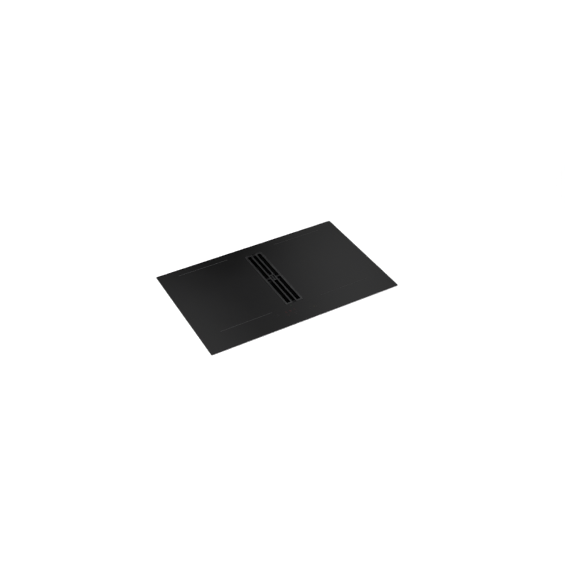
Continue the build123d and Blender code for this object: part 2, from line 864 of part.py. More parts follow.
def scroll_housing():
    """The lower shell of the blower: a scroll that opens into the flat outlet at the back."""
    body = extrude(Pos(0, 0, housing_low_z) * scroll_face(housing_wall), lid_z - housing_low_z)
    lip = extrude(Pos(0, 0, lid_z - joint_lip_high) * scroll_face(housing_wall + joint_lip), joint_lip_high)
    lip += extrude(Pos(0, 0, band_z[0]) * scroll_face(housing_wall + 1.2), band_z[1] - band_z[0])
    lip -= block(-duct_width, duct_width, duct_face_y, duct_face_y + 20, housing_low_z, lid_z + 1)
    flange_reach = duct_width / 2 + duct_flange
    body += lip
    body += block(-flange_reach, flange_reach, duct_face_y - 4, duct_face_y, housing_low_z, lid_z)
    for x, y in scroll_lug_spots():
        body += rod(x, y, lug_radius, lid_z - lug_high, lid_z)
    for rib in scroll_ribs():
        body += rib
    body -= extrude(Pos(0, 0, housing_low_z + housing_wall) * scroll_face(), lid_z - housing_low_z)
    body -= duct_window(duct_face_y - 8, duct_face_y + 1)
    body -= [rod(x, y, 1.9, lid_z - 16, lid_z + 1) for x, y in scroll_lug_spots()]
    body -= [rod(x, y, bush_stud + 0.05, housing_low_z - 1, housing_low_z + 5) for x, y in bush_spots()]
    return body - duct_screw_holes(1.9)


def duct_screw_spots():
    x = duct_width / 2 + 7
    z = duct_height / 2 - 8
    return [(sx * x, duct_z + sz * z) for sx in (-1, 1) for sz in (-1, 1)]


def duct_screw_holes(radius):
    return [along_rod(x, duct_face_y, z, radius, 24) for x, z in duct_screw_spots()]


def plenum_screw_spots():
    x = plenum_width / 2 + plenum_flange / 2
    y = plenum_length / 2 - 30
    return [(sx * x, inlet_y + sy * y) for sx in (-1, 1) for sy in (-1, 0, 1)]


def blower_cover():
    """The lid of the scroll, with the plenum walls that stand on it."""
    at = (0, inlet_y)
    top = lid_z + lid_thick
    roof = case_bottom_z - plenum_gasket
    lid = extrude(Pos(0, 0, lid_z) * scroll_face(housing_wall + joint_lip), lid_thick)
    lid += slab(plenum_width, plenum_length, plenum_corner, lid_z, top, at)
    for x, y in scroll_lug_spots():
        lid += rod(x, y, lug_radius, lid_z, top)
    lid += frame_ring(plenum_width, plenum_length, plenum_corner, housing_wall, lid_z, roof, at)
    flange = slab(plenum_width + 2 * plenum_flange, plenum_length, plenum_corner, roof - plenum_flange_thick,
                  roof, at)
    lid += flange - slab(plenum_width - 1, plenum_length - 1, plenum_corner, roof - plenum_flange_thick - 1,
                         roof + 1, at)
    for side in (-1, 1):
        for i in range(6):
            wall = side * plenum_width / 2
            y = inlet_y + (i - 2.5) * 58
            lid += block(wall - side, wall + side * rib_reach, y - rib_thick / 2, y + rib_thick / 2,
                         lid_z, roof - 1)
    for end in (-1, 1):
        y = inlet_y + end * tray_saddle_y
        lid += block(-25, 25, y - 2, y + 2, top - 1, tray_low_z - 0.2)
    lid -= rod(*blower_at, throat_radius + 0.3, lid_z - 1, top + 1)
    lid -= [rod(x, y, screw_hole, lid_z - 1, top + 1) for x, y in scroll_lug_spots()]
    return lid - [rod(x, y, 2.3, roof - 6, roof + 1) for x, y in plenum_screw_spots()]


def plenum_seal():
    roof = case_bottom_z
    width = plenum_width + 2 * plenum_flange - 4
    low = roof - plenum_gasket
    ring = frame_ring(width, plenum_length - 4, plenum_corner - 1, 9, low, roof, (0, inlet_y))
    return ring - [rod(x, y, 2.6, roof - 4, roof + 1) for x, y in plenum_screw_spots()]


def bell_mouth():
    """The flared inlet ring that leads air into the eye of the impeller."""
    x, y = blower_at
    top = lid_z + lid_thick
    throat = pipe(x, y, throat_radius, throat_radius - 2, impeller_top_z - 3, top + 10)
    flange = pipe(x, y, throat_radius + 9, throat_radius - 2, top, top + 2)
    return throat + flange


def impeller_hub():
    """The back plate of the impeller and the hub that fits over the motor."""
    x, y = blower_at
    wall = motor_radius + impeller_sheet + 0.5
    plate_top = impeller_low_z + impeller_sheet
    under_crown = impeller_crown_z - impeller_sheet
    hub = pipe(x, y, impeller_radius, motor_radius + 0.5, impeller_low_z, plate_top)
    hub += pipe(x, y, wall, motor_radius + 0.1, impeller_low_z, under_crown)
    hub += pipe(x, y, wall, shaft_radius, under_crown, impeller_crown_z)
    return hub + pipe(x, y, 9, shaft_radius, impeller_crown_z, impeller_crown_z + 6)


def impeller_parts():
    """The hub, the upper ring and the curved blades that are welded between them."""
    x, y = blower_at
    ring_low = impeller_top_z - impeller_sheet
    plate_top = impeller_low_z + impeller_sheet
    parts = [impeller_hub(), pipe(x, y, impeller_radius, impeller_eye, ring_low, impeller_top_z)]
    blade = extrude(Pos(0, 0, plate_top) * blade_face(), ring_low - plate_top)
    blade -= rod(0, 0, motor_radius + impeller_sheet + 0.5, impeller_low_z, impeller_top_z)
    blade -= rod(0, 0, impeller_eye, impeller_top_z - 6, impeller_top_z)
    for i in range(impeller_blades):
        parts.append(Pos(x, y, 0) * Rot(0, 0, 360 / impeller_blades * i) * blade)
    return parts


def blade_face():
    """One backward-curved blade in plan, thin at the hub and thicker at the rim."""
    def spot(radius, turn):
        return (radius * cos(radians(turn)), radius * sin(radians(turn)))
    inner, middle, outer = (motor_radius + 2, 0), (70, -20), (impeller_radius - 0.5, -52)
    front = ThreePointArc(spot(*inner), spot(*middle), spot(*outer))
    rear = ThreePointArc(spot(outer[0], outer[1] + blade_lead), spot(middle[0], middle[1] + blade_lead),
                         spot(inner[0], inner[1] + blade_lead))
    tip = Line(spot(*outer), spot(outer[0], outer[1] + blade_lead))
    root = Line(spot(inner[0], inner[1] + blade_lead), spot(*inner))
    return make_face(front + tip + rear + root)


# Motor

def rotor_cup():
    x, y = blower_at
    low, high = cup_z
    side = pipe(x, y, motor_radius, motor_radius - cup_wall, low, high)
    return side + pipe(x, y, motor_radius, shaft_radius, high - cup_wall, high)


def rotor_magnets():
    outer = motor_radius - cup_wall
    return pipe(*blower_at, outer, outer - magnet_thick, *magnet_z)


def motor_shaft():
    return rod(*blower_at, shaft_radius, *shaft_z)


def bush_spots():
    x, y = blower_at
    return [(x + bush_circle * cos(2 * pi * i / 3), y + bush_circle * sin(2 * pi * i / 3)) for i in range(3)]


def motor_bushes():
    """Rubber bushes between the motor and the housing floor, each with a stud end through it."""
    low = housing_low_z + housing_wall
    bushes = []
    for x, y in bush_spots():
        stud = rod(x, y, bush_stud, housing_low_z + 0.5, low)
        bushes.append(rod(x, y, bush_radius, low, low + bush_high) + stud)
    return bushes


def motor_base():
    """The plate that the motor stands on, with the tube that holds its bearings."""
    x, y = blower_at
    low = housing_low_z + housing_wall + bush_high
    bearing_radius = shaft_radius + bearing_wall
    body = rod(x, y, base_radius, low, low + base_thick) + rod(x, y, bearing_radius + 3, low + 1, -163)
    return body - rod(x, y, bearing_radius + running_gap, low + base_thick - 0.5, -162)


def bearings():
    return [pipe(*blower_at, shaft_radius + bearing_wall, shaft_radius + running_gap, z, z + bearing_high)
            for z in bearing_z]


def stator():
    """The wound core of the motor, drawn as a ring of teeth."""
    x, y = blower_at
    low, high = stator_z
    core = pipe(x, y, 20, shaft_radius + bearing_wall + 3.05, low, high)
    for i in range(stator_teeth):
        tooth = Pos(24, 0, (low + high) / 2) * Box(14, 5, high - low)
        core += Pos(x, y, 0) * Rot(0, 0, 360 / stator_teeth * i) * tooth
    return core


# Duct outlet and screws

def outlet_plate(y0, thick):
    """The rectangular flange around the blower outlet."""
    reach = duct_width / 2 + duct_flange
    return block(-reach, reach, y0, y0 + thick, housing_low_z + 2, lid_z - 1)


def duct_seal():
    plate = outlet_plate(duct_face_y, duct_seal_thick)
    return plate - duct_window(duct_face_y - 1, duct_face_y + 3) - duct_screw_holes(2.2)


def duct_collar():
    """The flat rectangular spigot that the exhaust duct pushes onto, with a stop bead around it."""
    start = duct_face_y + duct_seal_thick
    half_width, half_height = duct_width / 2, duct_height / 2
    tube = block(-half_width, half_width, start, duct_end_y, duct_z - half_height, duct_z + half_height)
    tube = fillet(tube.edges().filter_by(Axis.Y), 4)
    bead_y = start + 11
    bead = block(-half_width - 1.2, half_width + 1.2, bead_y, bead_y + 2, duct_z - half_height - 1.2,
                 duct_z + half_height + 1.2)
    bead = fillet(bead.edges().filter_by(Axis.Y), 5)
    body = outlet_plate(start, duct_flange_thick) + tube + bead
    return body - duct_window(start - 1, duct_end_y + 1) - duct_screw_holes(screw_hole)


def duct_screws():
    screws = []
    face = duct_face_y + duct_seal_thick + duct_flange_thick
    for x, z in duct_screw_spots():
        head = along_rod(x, face + 1, z, 3.8, 2) - Pos(x, face + 1.6, z) * Box(5.5, 1.0, 1.0)
        screws.append(head + along_rod(x, face - 5, z, 1.85, 10))
    return screws


def cover_screws():
    """The screws that hold the blower cover on the scroll housing."""
    face = lid_z + lid_thick
    screws = []
    for x, y in scroll_lug_spots():
        head = rod(x, y, 3.8, face, face + 2) - centred_block((x, y), (5.5, 1, 1.1), face + 1)
        screws.append(head + rod(x, y, 1.85, face - 14, face))
    return screws


def hanging_screw(x, y, face):
    """A screw from below through the casing floor, with its head under a flange at height face."""
    head = rod(x, y, 4, face - 2.2, face) - centred_block((x, y), (6, 1, 1.1), face - 2.3)
    return head + rod(x, y, 2, face, case_floor_z + 3)


def plenum_screws():
    face = case_bottom_z - plenum_gasket - plenum_flange_thick
    return [hanging_screw(x, y, face) for x, y in plenum_screw_spots()]


def driver_screws():
    return [hanging_screw(x, y, case_bottom_z - driver_ear[2]) for x, y in driver_screw_spots()]


# Control box and lead

def driver_screw_spots():
    reach = driver_size[1] / 2 + driver_ear[1] / 2
    return [(driver_at[0], driver_at[1] + end * reach) for end in (-1, 1)]


def driver_box():
    """The plastic case of the blower's own control board, hung under the casing by an ear at each end."""
    width, depth = driver_size
    x, y = driver_at
    box = slab(width, depth, 5, driver_low_z, case_bottom_z, driver_at)
    for ear_x, ear_y in driver_screw_spots():
        ear = (driver_ear[0], driver_ear[1] + 1, driver_ear[2])
        inward = 0.5 if ear_y < y else -0.5
        box += centred_block((ear_x, ear_y + inward), ear, case_bottom_z - driver_ear[2])
        box -= rod(ear_x, ear_y, screw_hole, case_bottom_z - 5, case_bottom_z + 1)
    box -= slab(width - 2 * driver_wall, depth - 2 * driver_wall, 3, driver_low_z + driver_wall,
                case_bottom_z - driver_wall, driver_at)
    box -= slab(width - 20, depth - 20, 3, case_bottom_z - 5, case_bottom_z + 1, driver_at)
    for side in (-1, 1):
        for i in range(driver_vents):
            start = y + (i - driver_vents / 2) * 9
            wall = x + side * width / 2
            box -= block(wall - side * 5, wall + side, start, start + vent_width, driver_low_z + 6,
                         driver_low_z + 22)
    lead_y = blower_at[1] - scroll_step / 2
    return box - rod(lead_x, lead_y, lead_radius + 0.2, driver_low_z - 1, driver_low_z + 3)


def driver_board():
    """The control board on four feet, with two capacitors and a power module."""
    x, y = driver_at
    width, depth = driver_size
    low = driver_low_z + driver_wall + 6
    top = low + board_thick
    board = centred_block(driver_at, (width - 10, depth - 10, board_thick), low)
    for step in (0, 1):
        board += rod(x - 20, y - 30 + 25 * step, 8, top - 0.5, top + 17)
    board += centred_block((x + 15, y + 20), (30, 20, 12), top - 0.5)
    for foot_x, foot_y in corner_spots(driver_at, driver_size, board_hole_inset):
        board += rod(foot_x, foot_y, 3, low - 6, low + 0.5)
    return board


def blower_lead():
    """The lead from the control box down and into the side of the scroll housing."""
    y = blower_at[1] - scroll_step / 2
    wall = blower_at[0] - scroll_step / 2 - scroll_start - housing_wall
    start = (lead_x, y, driver_low_z + driver_wall)
    path = FilletPolyline(start, (lead_x, y, lead_low_z), (wall, y, lead_low_z), radius=lead_bend)
    section = Plane(origin=path @ 0, z_dir=path % 0) * Circle(lead_radius)
    return sweep(section, path)


def write_all():
    os.makedirs("parts", exist_ok=True)
    sides = ((-1, "left"), (1, "right"))
    save("glass_top", glass_top())
    save("worktop_seal", rim_seal())
    save("glass_bond", glass_bond())
    save("casing", casing())
    save("worktop_clips", *[worktop_clip(1 if x > 0 else -1, y) for x, y in clip_spots()])
    save("casing_screws", *clip_screws(), *plenum_screws(), *driver_screws())
    save("inlet_chute", chute())
    save("air_gaskets", chute_gasket(), plenum_seal(), duct_seal())
    save("intake_grille", grille())
    save("grille_inlay", *grille_inlay())
    save("grille_pads", *grille_pads())
    save("grease_filter_frame", *filter_frame())
    save("grease_filter_mesh", filter_mesh())
    save("grease_filter_grip", filter_grip())
    save("drip_tray", drip_tray())
    for side, word in sides:
        for centre, place in zip(coil_centres(side), ("front", "back")):
            save(f"coil_winding_{place}_{word}", winding(centre))
        save(f"coil_tray_{word}", carrier(side))
        save(f"power_board_{word}", power_board(side))
        save(f"cooling_fan_rotor_{word}", fan_rotor(side))
    centres = all_coil_centres()
    save("coil_formers", *[former(centre) for centre in centres])
    save("coil_ferrites", *[bar for centre in centres for bar in ferrites(centre)])
    save("mica_sheets", *[mica(centre) for centre in centres])
    save("temperature_sensors", *[sensor(centre) for centre in centres])
    save("tray_pillars", *[pillar(spot) for spot in pillar_spots()])
    save("tray_springs", *[leaf_spring(spot) for spot in pillar_spots()])
    save("cooling_fan_housings", *[fan_housing(side) for side, word in sides])
    save("heat_sinks", *[heat_sink(side) for side, word in sides])
    save("board_standoffs", *standoffs())
    save("mains_filter_board", mains_board())
    save("board_components", *board_parts(-1), *board_parts(1), *mains_parts())
    save("touch_board_holder", touch_holder())
    save("touch_board", touch_board())
    save("touch_pads", *touch_pads())
    save("terminal_block", terminal_block())
    save("terminal_cover", terminal_cover())
    save("cable_gland", cable_gland(), gland_nut())
    save("gland_cap", gland_cap())
    save("blower_cover", blower_cover())
    save("scroll_housing", scroll_housing())
    save("bell_mouth", bell_mouth())
    save("impeller", *impeller_parts())
    save("motor_rotor_cup", rotor_cup())
    save("motor_magnets", rotor_magnets())
    save("motor_shaft", motor_shaft())
    save("motor_bushes", *motor_bushes())
    save("motor_base", motor_base())
    save("motor_bearings", *bearings())
    save("motor_stator", stator())
    save("duct_collar", duct_collar())
    save("housing_screws", *duct_screws(), *cover_screws())
    save("driver_box", driver_box())
    save("driver_board", driver_board())
    save("blower_lead", blower_lead())


write_all()
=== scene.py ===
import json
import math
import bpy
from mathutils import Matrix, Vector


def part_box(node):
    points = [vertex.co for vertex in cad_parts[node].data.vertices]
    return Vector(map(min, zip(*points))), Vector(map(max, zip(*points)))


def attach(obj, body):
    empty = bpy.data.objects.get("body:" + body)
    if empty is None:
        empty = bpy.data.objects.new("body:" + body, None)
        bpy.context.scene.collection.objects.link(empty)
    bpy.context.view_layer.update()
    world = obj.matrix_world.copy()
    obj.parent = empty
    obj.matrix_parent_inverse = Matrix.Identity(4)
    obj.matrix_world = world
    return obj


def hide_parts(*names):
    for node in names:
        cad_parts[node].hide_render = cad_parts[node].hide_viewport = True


bl_info = {
    "name": "Downdraft Induction Cooktop",
    "version": (1, 0, 0),
    "blender": (4, 5, 0),
    "location": "View3D > Sidebar > Cooktop",
    "description": "Finishes a built-in induction cooktop with a middle air intake, and its studio",
    "category": "Object",
}

import bmesh
import bpy
from bpy.props import FloatProperty, FloatVectorProperty, IntProperty, PointerProperty
from bpy.types import Operator, Panel, PropertyGroup
from mathutils import Matrix, Vector

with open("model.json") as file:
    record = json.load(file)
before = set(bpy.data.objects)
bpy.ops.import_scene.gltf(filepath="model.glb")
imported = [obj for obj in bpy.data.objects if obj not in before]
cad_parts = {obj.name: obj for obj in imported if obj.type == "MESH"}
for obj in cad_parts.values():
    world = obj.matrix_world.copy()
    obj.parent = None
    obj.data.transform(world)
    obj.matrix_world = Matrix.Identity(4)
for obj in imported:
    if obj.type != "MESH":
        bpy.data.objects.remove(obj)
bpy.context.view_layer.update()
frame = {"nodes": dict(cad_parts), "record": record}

MM = 0.001

SLOTS = {part["node"]: part["material_slot"] for part in frame["record"]["subparts"]}
GLASS_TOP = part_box("glass_top")[1].z
GRILLE_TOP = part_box("intake_grille")[1].z
BLOWER_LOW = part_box("scroll_housing")[0].z
PRINT_LIFT = 0.02 * MM      # thickness of everything printed on the glass
STAGE_GAP = 0.05 * MM       # keeps the worktop and the floor clear of the part
UP = Vector((0, 0, 1))


# Settings

def length(name, description, default, **more):
    return FloatProperty(name=name, description=description, default=default, unit="LENGTH", **more)


def angle(name, description, degrees):
    return FloatProperty(name=name, description=description, default=math.radians(degrees), unit="ROTATION")


def share(name, description, default):
    return FloatProperty(name=name, description=description, default=default, min=0, max=1, subtype="FACTOR")


def amount(name, description, default):
    return FloatProperty(name=name, description=description, default=default, min=0)


def colour(name, description, default):
    return FloatVectorProperty(name=name, description=description, default=default, size=3, min=0, max=1,
                               subtype="COLOR")


class CooktopCamera(PropertyGroup):
    """The camera, as angles and a distance from the middle of the glass."""
    azimuth: angle("Azimuth", "Turn about the vertical, from the front", -29.665)
    elevation: angle("Elevation", "Height of the view above the horizon", 38.833)
    roll: angle("Roll", "Turn of the picture about the line of sight", 0.268)
    distance: length("Distance", "From the middle of the glass along the line of sight", 3.3265)
    beside: length("Beside", "How far the camera stands to the right of that line", 0.0249)
    above: length("Above", "How far the camera stands above that line", -0.00248)
    lens: FloatProperty(name="Lens", description="Focal length", default=52.44, unit="CAMERA")


class CooktopStudio(PropertyGroup):
    """The worktop, the floor under the body, the lamps and the sky around them."""
    cutout_width: length("Cut-out width", "Hole in the worktop, along the front", 0.807)
    cutout_depth: length("Cut-out depth", "Hole in the worktop, front to back", 0.492)
    floor_reach: length("Floor reach", "Half the side of the worktop and of the floor", 12.0)
    floor_colour: colour("Floor colour", "Pale matt surface", (0.8, 0.8, 0.8))
    near_glow: amount("Near glow", "Glow that makes the floor close to the object white", 0.24)
    far_glow: amount("Far glow", "Glow that makes the floor far from the lamps white", 0.85)
    horizon: amount("Horizon", "Strength of the sky near the horizon", 1.0)
    zenith: amount("Zenith", "Strength of the sky overhead", 0.42)
    gap: amount("Gap", "Strength of the dark gap between the two soft boxes", 0.19)
    box_left: amount("Left soft box", "How much brighter the sky is to the left of the gap", 0.235)
    box_right: amount("Right soft box", "How much brighter the sky is to the right of the gap", 0.27)
    low_shade: amount("Low shade", "How much darker the soft boxes are at their lower edge", 0.19)
    flag: share("Flag", "How far the sky is shaded behind the camera", 0.7)
    key_power: FloatProperty(name="Key lamp", description="Power of the overhead lamp", default=90.0,
                             unit="POWER")
    fill_power: FloatProperty(name="Fill lamp", description="Power of the lamp at the front", default=30.0,
                              unit="POWER")


class CooktopGlass(PropertyGroup):
    """The glass plate and what is printed on it."""
    tint: colour("Glass colour", "Black glass ceramic", (0.0035, 0.0035, 0.0037))
    roughness: share("Roughness", "How far the polish blurs reflections", 0.07)
    smudge: share("Smudges", "How far wiping marks dull the polish", 0.05)
    ink: colour("Ink", "Grey of the printed lines", (0.036, 0.036, 0.037))
    # the lines on the right are printed in a darker grey than those on the left, so they show less on the
    # black glass
    right_ink: colour("Right ink", "Worn grey of the lines on the right", (0.013, 0.013, 0.0133))
    faint_ink: colour("Faint ink", "Grey of the printed touch controls", (0.012, 0.012, 0.0125))
    line_width: length("Line width", "Width of the zone lines", 1.2 * MM)
    line_length: length("Line length", "Length of the zone lines", 221.0 * MM)
    line_middle: length("Line middle", "From the glass's middle to the middle of a zone line", 220.2 * MM)
    line_front: length("Front line", "Place of the front zone lines", -162.3 * MM)
    line_back: length("Back line", "Place of the back zone lines", 221.7 * MM)
    touch_middle: length("Touch strip", "Place of the touch controls", -188.0 * MM)
    digit_high: length("Digit height", "Height of a display digit", 9.0 * MM)
    display: colour("Display", "Red of the lit digits", (0.055, 0.003, 0.004))
    amber: colour("Amber lamp", "Lamp of the fan control", (0.055, 0.04, 0.006))
    green: colour("Green lamp", "Lamp of the lock", (0.02, 0.06, 0.02))


class CooktopMetal(PropertyGroup):
    """Metal finishes."""
    grille: colour("Grille", "Satin anthracite top of the bars", (0.123, 0.123, 0.126))
    # painted highlight along the edges of the bar tops, partly where the coat is rubbed thin
    grille_edge_wear_and_highlight: colour("Grille edge", "Where the coat is rubbed thin", (0.155, 0.155, 0.16))
    # the darker tone below the bar tops is partly a duller cast coat and partly painted shade
    grille_cast_and_shade: colour("Grille below", "Darker cast coat of everything lower", (0.032, 0.032, 0.034))
    zinc: colour("Zinc", "Zinc-coated sheet", (0.44, 0.455, 0.47))
    bead_width: length("Bead width", "Width of the pressed beads in the casing", 7.0 * MM)
    bead_rise: length("Bead rise", "How far the pressed beads stand out", 1.1 * MM)
    hem: length("Hem", "Height of the folded hem along the casing's lower edge", 3.0 * MM)
    weld: length("Spot weld", "Radius of a spot weld", 2.2 * MM)
    bright: colour("Bright steel", "Springs and stainless sheet", (0.6, 0.6, 0.6))
    screw: colour("Screws", "Yellow-grey plating", (0.55, 0.52, 0.42))
    aluminium: colour("Aluminium", "Mill finish", (0.72, 0.72, 0.74))
    copper: colour("Copper", "Lacquered wire", (0.62, 0.27, 0.13))
    winding_turns: IntProperty(name="Winding turns", default=24, min=1,
                               description="Rings of wire from the middle of a coil to its rim")
    # painted shade: the filter coat and the tray enamel are far darker than real black coats, standing in
    # for the shade deep in the intake
    filter_coat_and_shade: colour("Filter coat", "Black coat of the grease filter", (0.002, 0.002, 0.0021))
    enamel: colour("Tray enamel", "Black enamel of the drip tray", (0.005, 0.005, 0.0053))
    filter_pitch: length("Mesh pitch", "From one strand of the grease mesh to the next", 2.6 * MM)
    filter_strand: length("Mesh strand", "Width of a strand of the grease mesh", 0.85 * MM)
    filter_inset: length("Mesh inset", "From the box of the plain trough to the strands' middle", 0.6 * MM)


class CooktopPlastic(PropertyGroup):
    """Plastics, rubber, boards and other dull materials."""
    black: colour("Black plastic", "Fans, collar and control box", (0.012, 0.012, 0.0127))
    grey: colour("Grey plastic", "Blower housing", (0.085, 0.088, 0.092))
    white: colour("White plastic", "Holders and terminals", (0.62, 0.62, 0.6))
    foam: colour("Foam", "Rim seal and gaskets", (0.025, 0.025, 0.026))
    rubber: colour("Rubber", "Pads, bushes and lead", (0.02, 0.02, 0.02))
    board: colour("Board", "Green solder mask", (0.015, 0.11, 0.045))
    former: colour("Former", "Sand-coloured heat-resistant plastic", (0.5, 0.42, 0.3))
    ferrite: colour("Ferrite", "Dark sintered ceramic", (0.05, 0.05, 0.055))
    mica: colour("Mica", "Pressed mica sheet", (0.55, 0.48, 0.36))


def settings():
    return bpy.context.scene.cooktop


# Shader groups, each built once

def new_group(name, inputs, outputs):
    """An empty shader group with float inputs and named outputs."""
    tree = bpy.data.node_groups.new(name, "ShaderNodeTree")
    for label, default in inputs:
        socket = tree.interface.new_socket(label, in_out="INPUT", socket_type="NodeSocketFloat")
        socket.default_value = default
    for label, kind in outputs:
        tree.interface.new_socket(label, in_out="OUTPUT", socket_type=kind)
    entry = tree.nodes.new("NodeGroupInput")
    leave = tree.nodes.new("NodeGroupOutput")
    return tree, entry, leave


def add(tree, kind, **values):
    node = tree.nodes.new(kind)
    for key, value in values.items():
        setattr(node, key, value)
    return node


def math_node(tree, operation, first, second=None):
    """A Math node whose inputs are sockets or numbers."""
    node = add(tree, "ShaderNodeMath", operation=operation)
    for index, value in enumerate((first, second)):
        if value is None:
            continue
        if isinstance(value, (int, float)):
            node.inputs[index].default_value = value
        else:
            tree.links.new(value, node.inputs[index])
    return node.outputs[0]


def clean_tree(owner):
    """The node tree of a material or a world, emptied."""
    owner.use_nodes = True
    owner.node_tree.nodes.clear()
    return owner.node_tree


def axes_of(tree, vector):
    """The X, Y and Z of a vector socket."""
    split = add(tree, "ShaderNodeSeparateXYZ")
    tree.links.new(vector, split.inputs[0])
    return split.outputs


def total_of(tree, *values):
    """The sum of several numbers."""
    result = values[0]
    for value in values[1:]:
        result = math_node(tree, "ADD", result, value)
    return result


def ease(tree, value, start, end, low, high, shape="SMOOTHSTEP"):
    """A number that runs from low to high as the value runs from start to end."""
    node = add(tree, "ShaderNodeMapRange", interpolation_type=shape)
    for label, number in (("From Min", start), ("From Max", end), ("To Min", low), ("To Max", high)):
        node.inputs[label].default_value = number
    tree.links.new(value, node.inputs["Value"])
    return node.outputs["Result"]


def place_vector(tree, stretch=(1, 1, 1)):
    """The place on the object, stretched along its axes."""
    where = add(tree, "ShaderNodeTexCoord")
    mapping = add(tree, "ShaderNodeMapping")
    mapping.inputs["Scale"].default_value = stretch
    tree.links.new(where.outputs["Object"], mapping.inputs["Vector"])
    return mapping.outputs["Vector"]


def noise(tree, vector, scale, detail=2.0, rough=0.5):
    """Soft noise whose scale is a socket or a number."""
    node = add(tree, "ShaderNodeTexNoise")
    node.inputs["Detail"].default_value = detail
    node.inputs["Roughness"].default_value = rough
    tree.links.new(vector, node.inputs["Vector"])
    if isinstance(scale, (int, float)):
        node.inputs["Scale"].default_value = scale
    else:
        tree.links.new(scale, node.inputs["Scale"])
    return node.outputs["Fac"]


def group_mottle():
    """Slow unevenness of a surface, and a fine grain on top of it."""
    tree, entry, leave = new_group("Mottle", [("Scale", 20.0), ("Grain scale", 900.0), ("Grain share", 0.3)],
                                   [("Mask", "NodeSocketFloat"), ("Height", "NodeSocketFloat")])
    vector = place_vector(tree)
    slow = noise(tree, vector, entry.outputs["Scale"], 3.0)
    fine = noise(tree, vector, entry.outputs["Grain scale"], 2.0)
    part = math_node(tree, "MULTIPLY", fine, entry.outputs["Grain share"])
    rest = math_node(tree, "SUBTRACT", 1.0, entry.outputs["Grain share"])
    total = math_node(tree, "ADD", part, math_node(tree, "MULTIPLY", slow, rest))
    tree.links.new(total, leave.inputs["Mask"])
    tree.links.new(fine, leave.inputs["Height"])
    return tree


def group_grain():
    """Long fine scratches along X, as on rolled or brushed metal."""
    tree, entry, leave = new_group("Rolled grain", [("Scale", 60.0)],
                                   [("Mask", "NodeSocketFloat"), ("Height", "NodeSocketFloat")])
    vector = place_vector(tree, (1.0, 40.0, 40.0))
    lines = noise(tree, vector, entry.outputs["Scale"], 4.0, 0.6)
    tree.links.new(lines, leave.inputs["Mask"])
    tree.links.new(lines, leave.inputs["Height"])
    return tree


def group_spangle():
    """The crystal pattern of a zinc coat."""
    tree, entry, leave = new_group("Zinc spangle", [("Scale", 120.0)],
                                   [("Mask", "NodeSocketFloat"), ("Height", "NodeSocketFloat")])
    vector = place_vector(tree)
    warp = add(tree, "ShaderNodeTexNoise")
    warp.inputs["Scale"].default_value = 35.0
    tree.links.new(vector, warp.inputs["Vector"])
    mixed = add(tree, "ShaderNodeVectorMath", operation="MULTIPLY_ADD")
    mixed.inputs[1].default_value = (0.01, 0.01, 0.01)
    tree.links.new(warp.outputs["Color"], mixed.inputs[0])
    tree.links.new(vector, mixed.inputs[2])
    cells = add(tree, "ShaderNodeTexVoronoi", feature="F1")
    tree.links.new(mixed.outputs[0], cells.inputs["Vector"])
    tree.links.new(entry.outputs["Scale"], cells.inputs["Scale"])
    split = add(tree, "ShaderNodeSeparateColor")
    tree.links.new(cells.outputs["Color"], split.inputs[0])
    fine = noise(tree, vector, 700.0, 2.0)
    blend = math_node(tree, "ADD", math_node(tree, "MULTIPLY", split.outputs[0], 0.75),
                      math_node(tree, "MULTIPLY", fine, 0.25))
    tree.links.new(blend, leave.inputs["Mask"])
    tree.links.new(cells.outputs["Distance"], leave.inputs["Height"])
    return tree


def group_edge():
    """A mask that is 1 along sharp edges, from a softened normal against the true one; it marks worn edges,
    and on the grille a painted highlight.
    """
    tree, entry, leave = new_group("Edge wear and highlight", [("Breakup scale", 300.0), ("Softness", 0.35)],
                                   [("Mask", "NodeSocketFloat")])
    bevel = add(tree, "ShaderNodeBevel", samples=6)
    bevel.inputs["Radius"].default_value = 0.9 * MM
    geometry = add(tree, "ShaderNodeNewGeometry")
    dot = add(tree, "ShaderNodeVectorMath", operation="DOT_PRODUCT")
    tree.links.new(bevel.outputs["Normal"], dot.inputs[0])
    tree.links.new(geometry.outputs["Normal"], dot.inputs[1])
    turned = math_node(tree, "SUBTRACT", 1.0, dot.outputs["Value"])
    grown = math_node(tree, "DIVIDE", turned, entry.outputs["Softness"])
    breakup = noise(tree, place_vector(tree), entry.outputs["Breakup scale"], 3.0)
    broken = math_node(tree, "MULTIPLY", grown, math_node(tree, "ADD", breakup, 0.4))
    capped = math_node(tree, "MINIMUM", broken, 1.0)
    tree.links.new(capped, leave.inputs["Mask"])
    return tree


def shared(name):
    """A shader group by its name, made when it is first asked for."""
    makers = {"Mottle": group_mottle, "Rolled grain": group_grain, "Zinc spangle": group_spangle,
              "Edge wear and highlight": group_edge}
    return bpy.data.node_groups.get(name) or makers[name]()


# Materials

def scaled(value, factor):
    """A colour made lighter or darker."""
    return tuple(min(1.0, part * factor) for part in value)


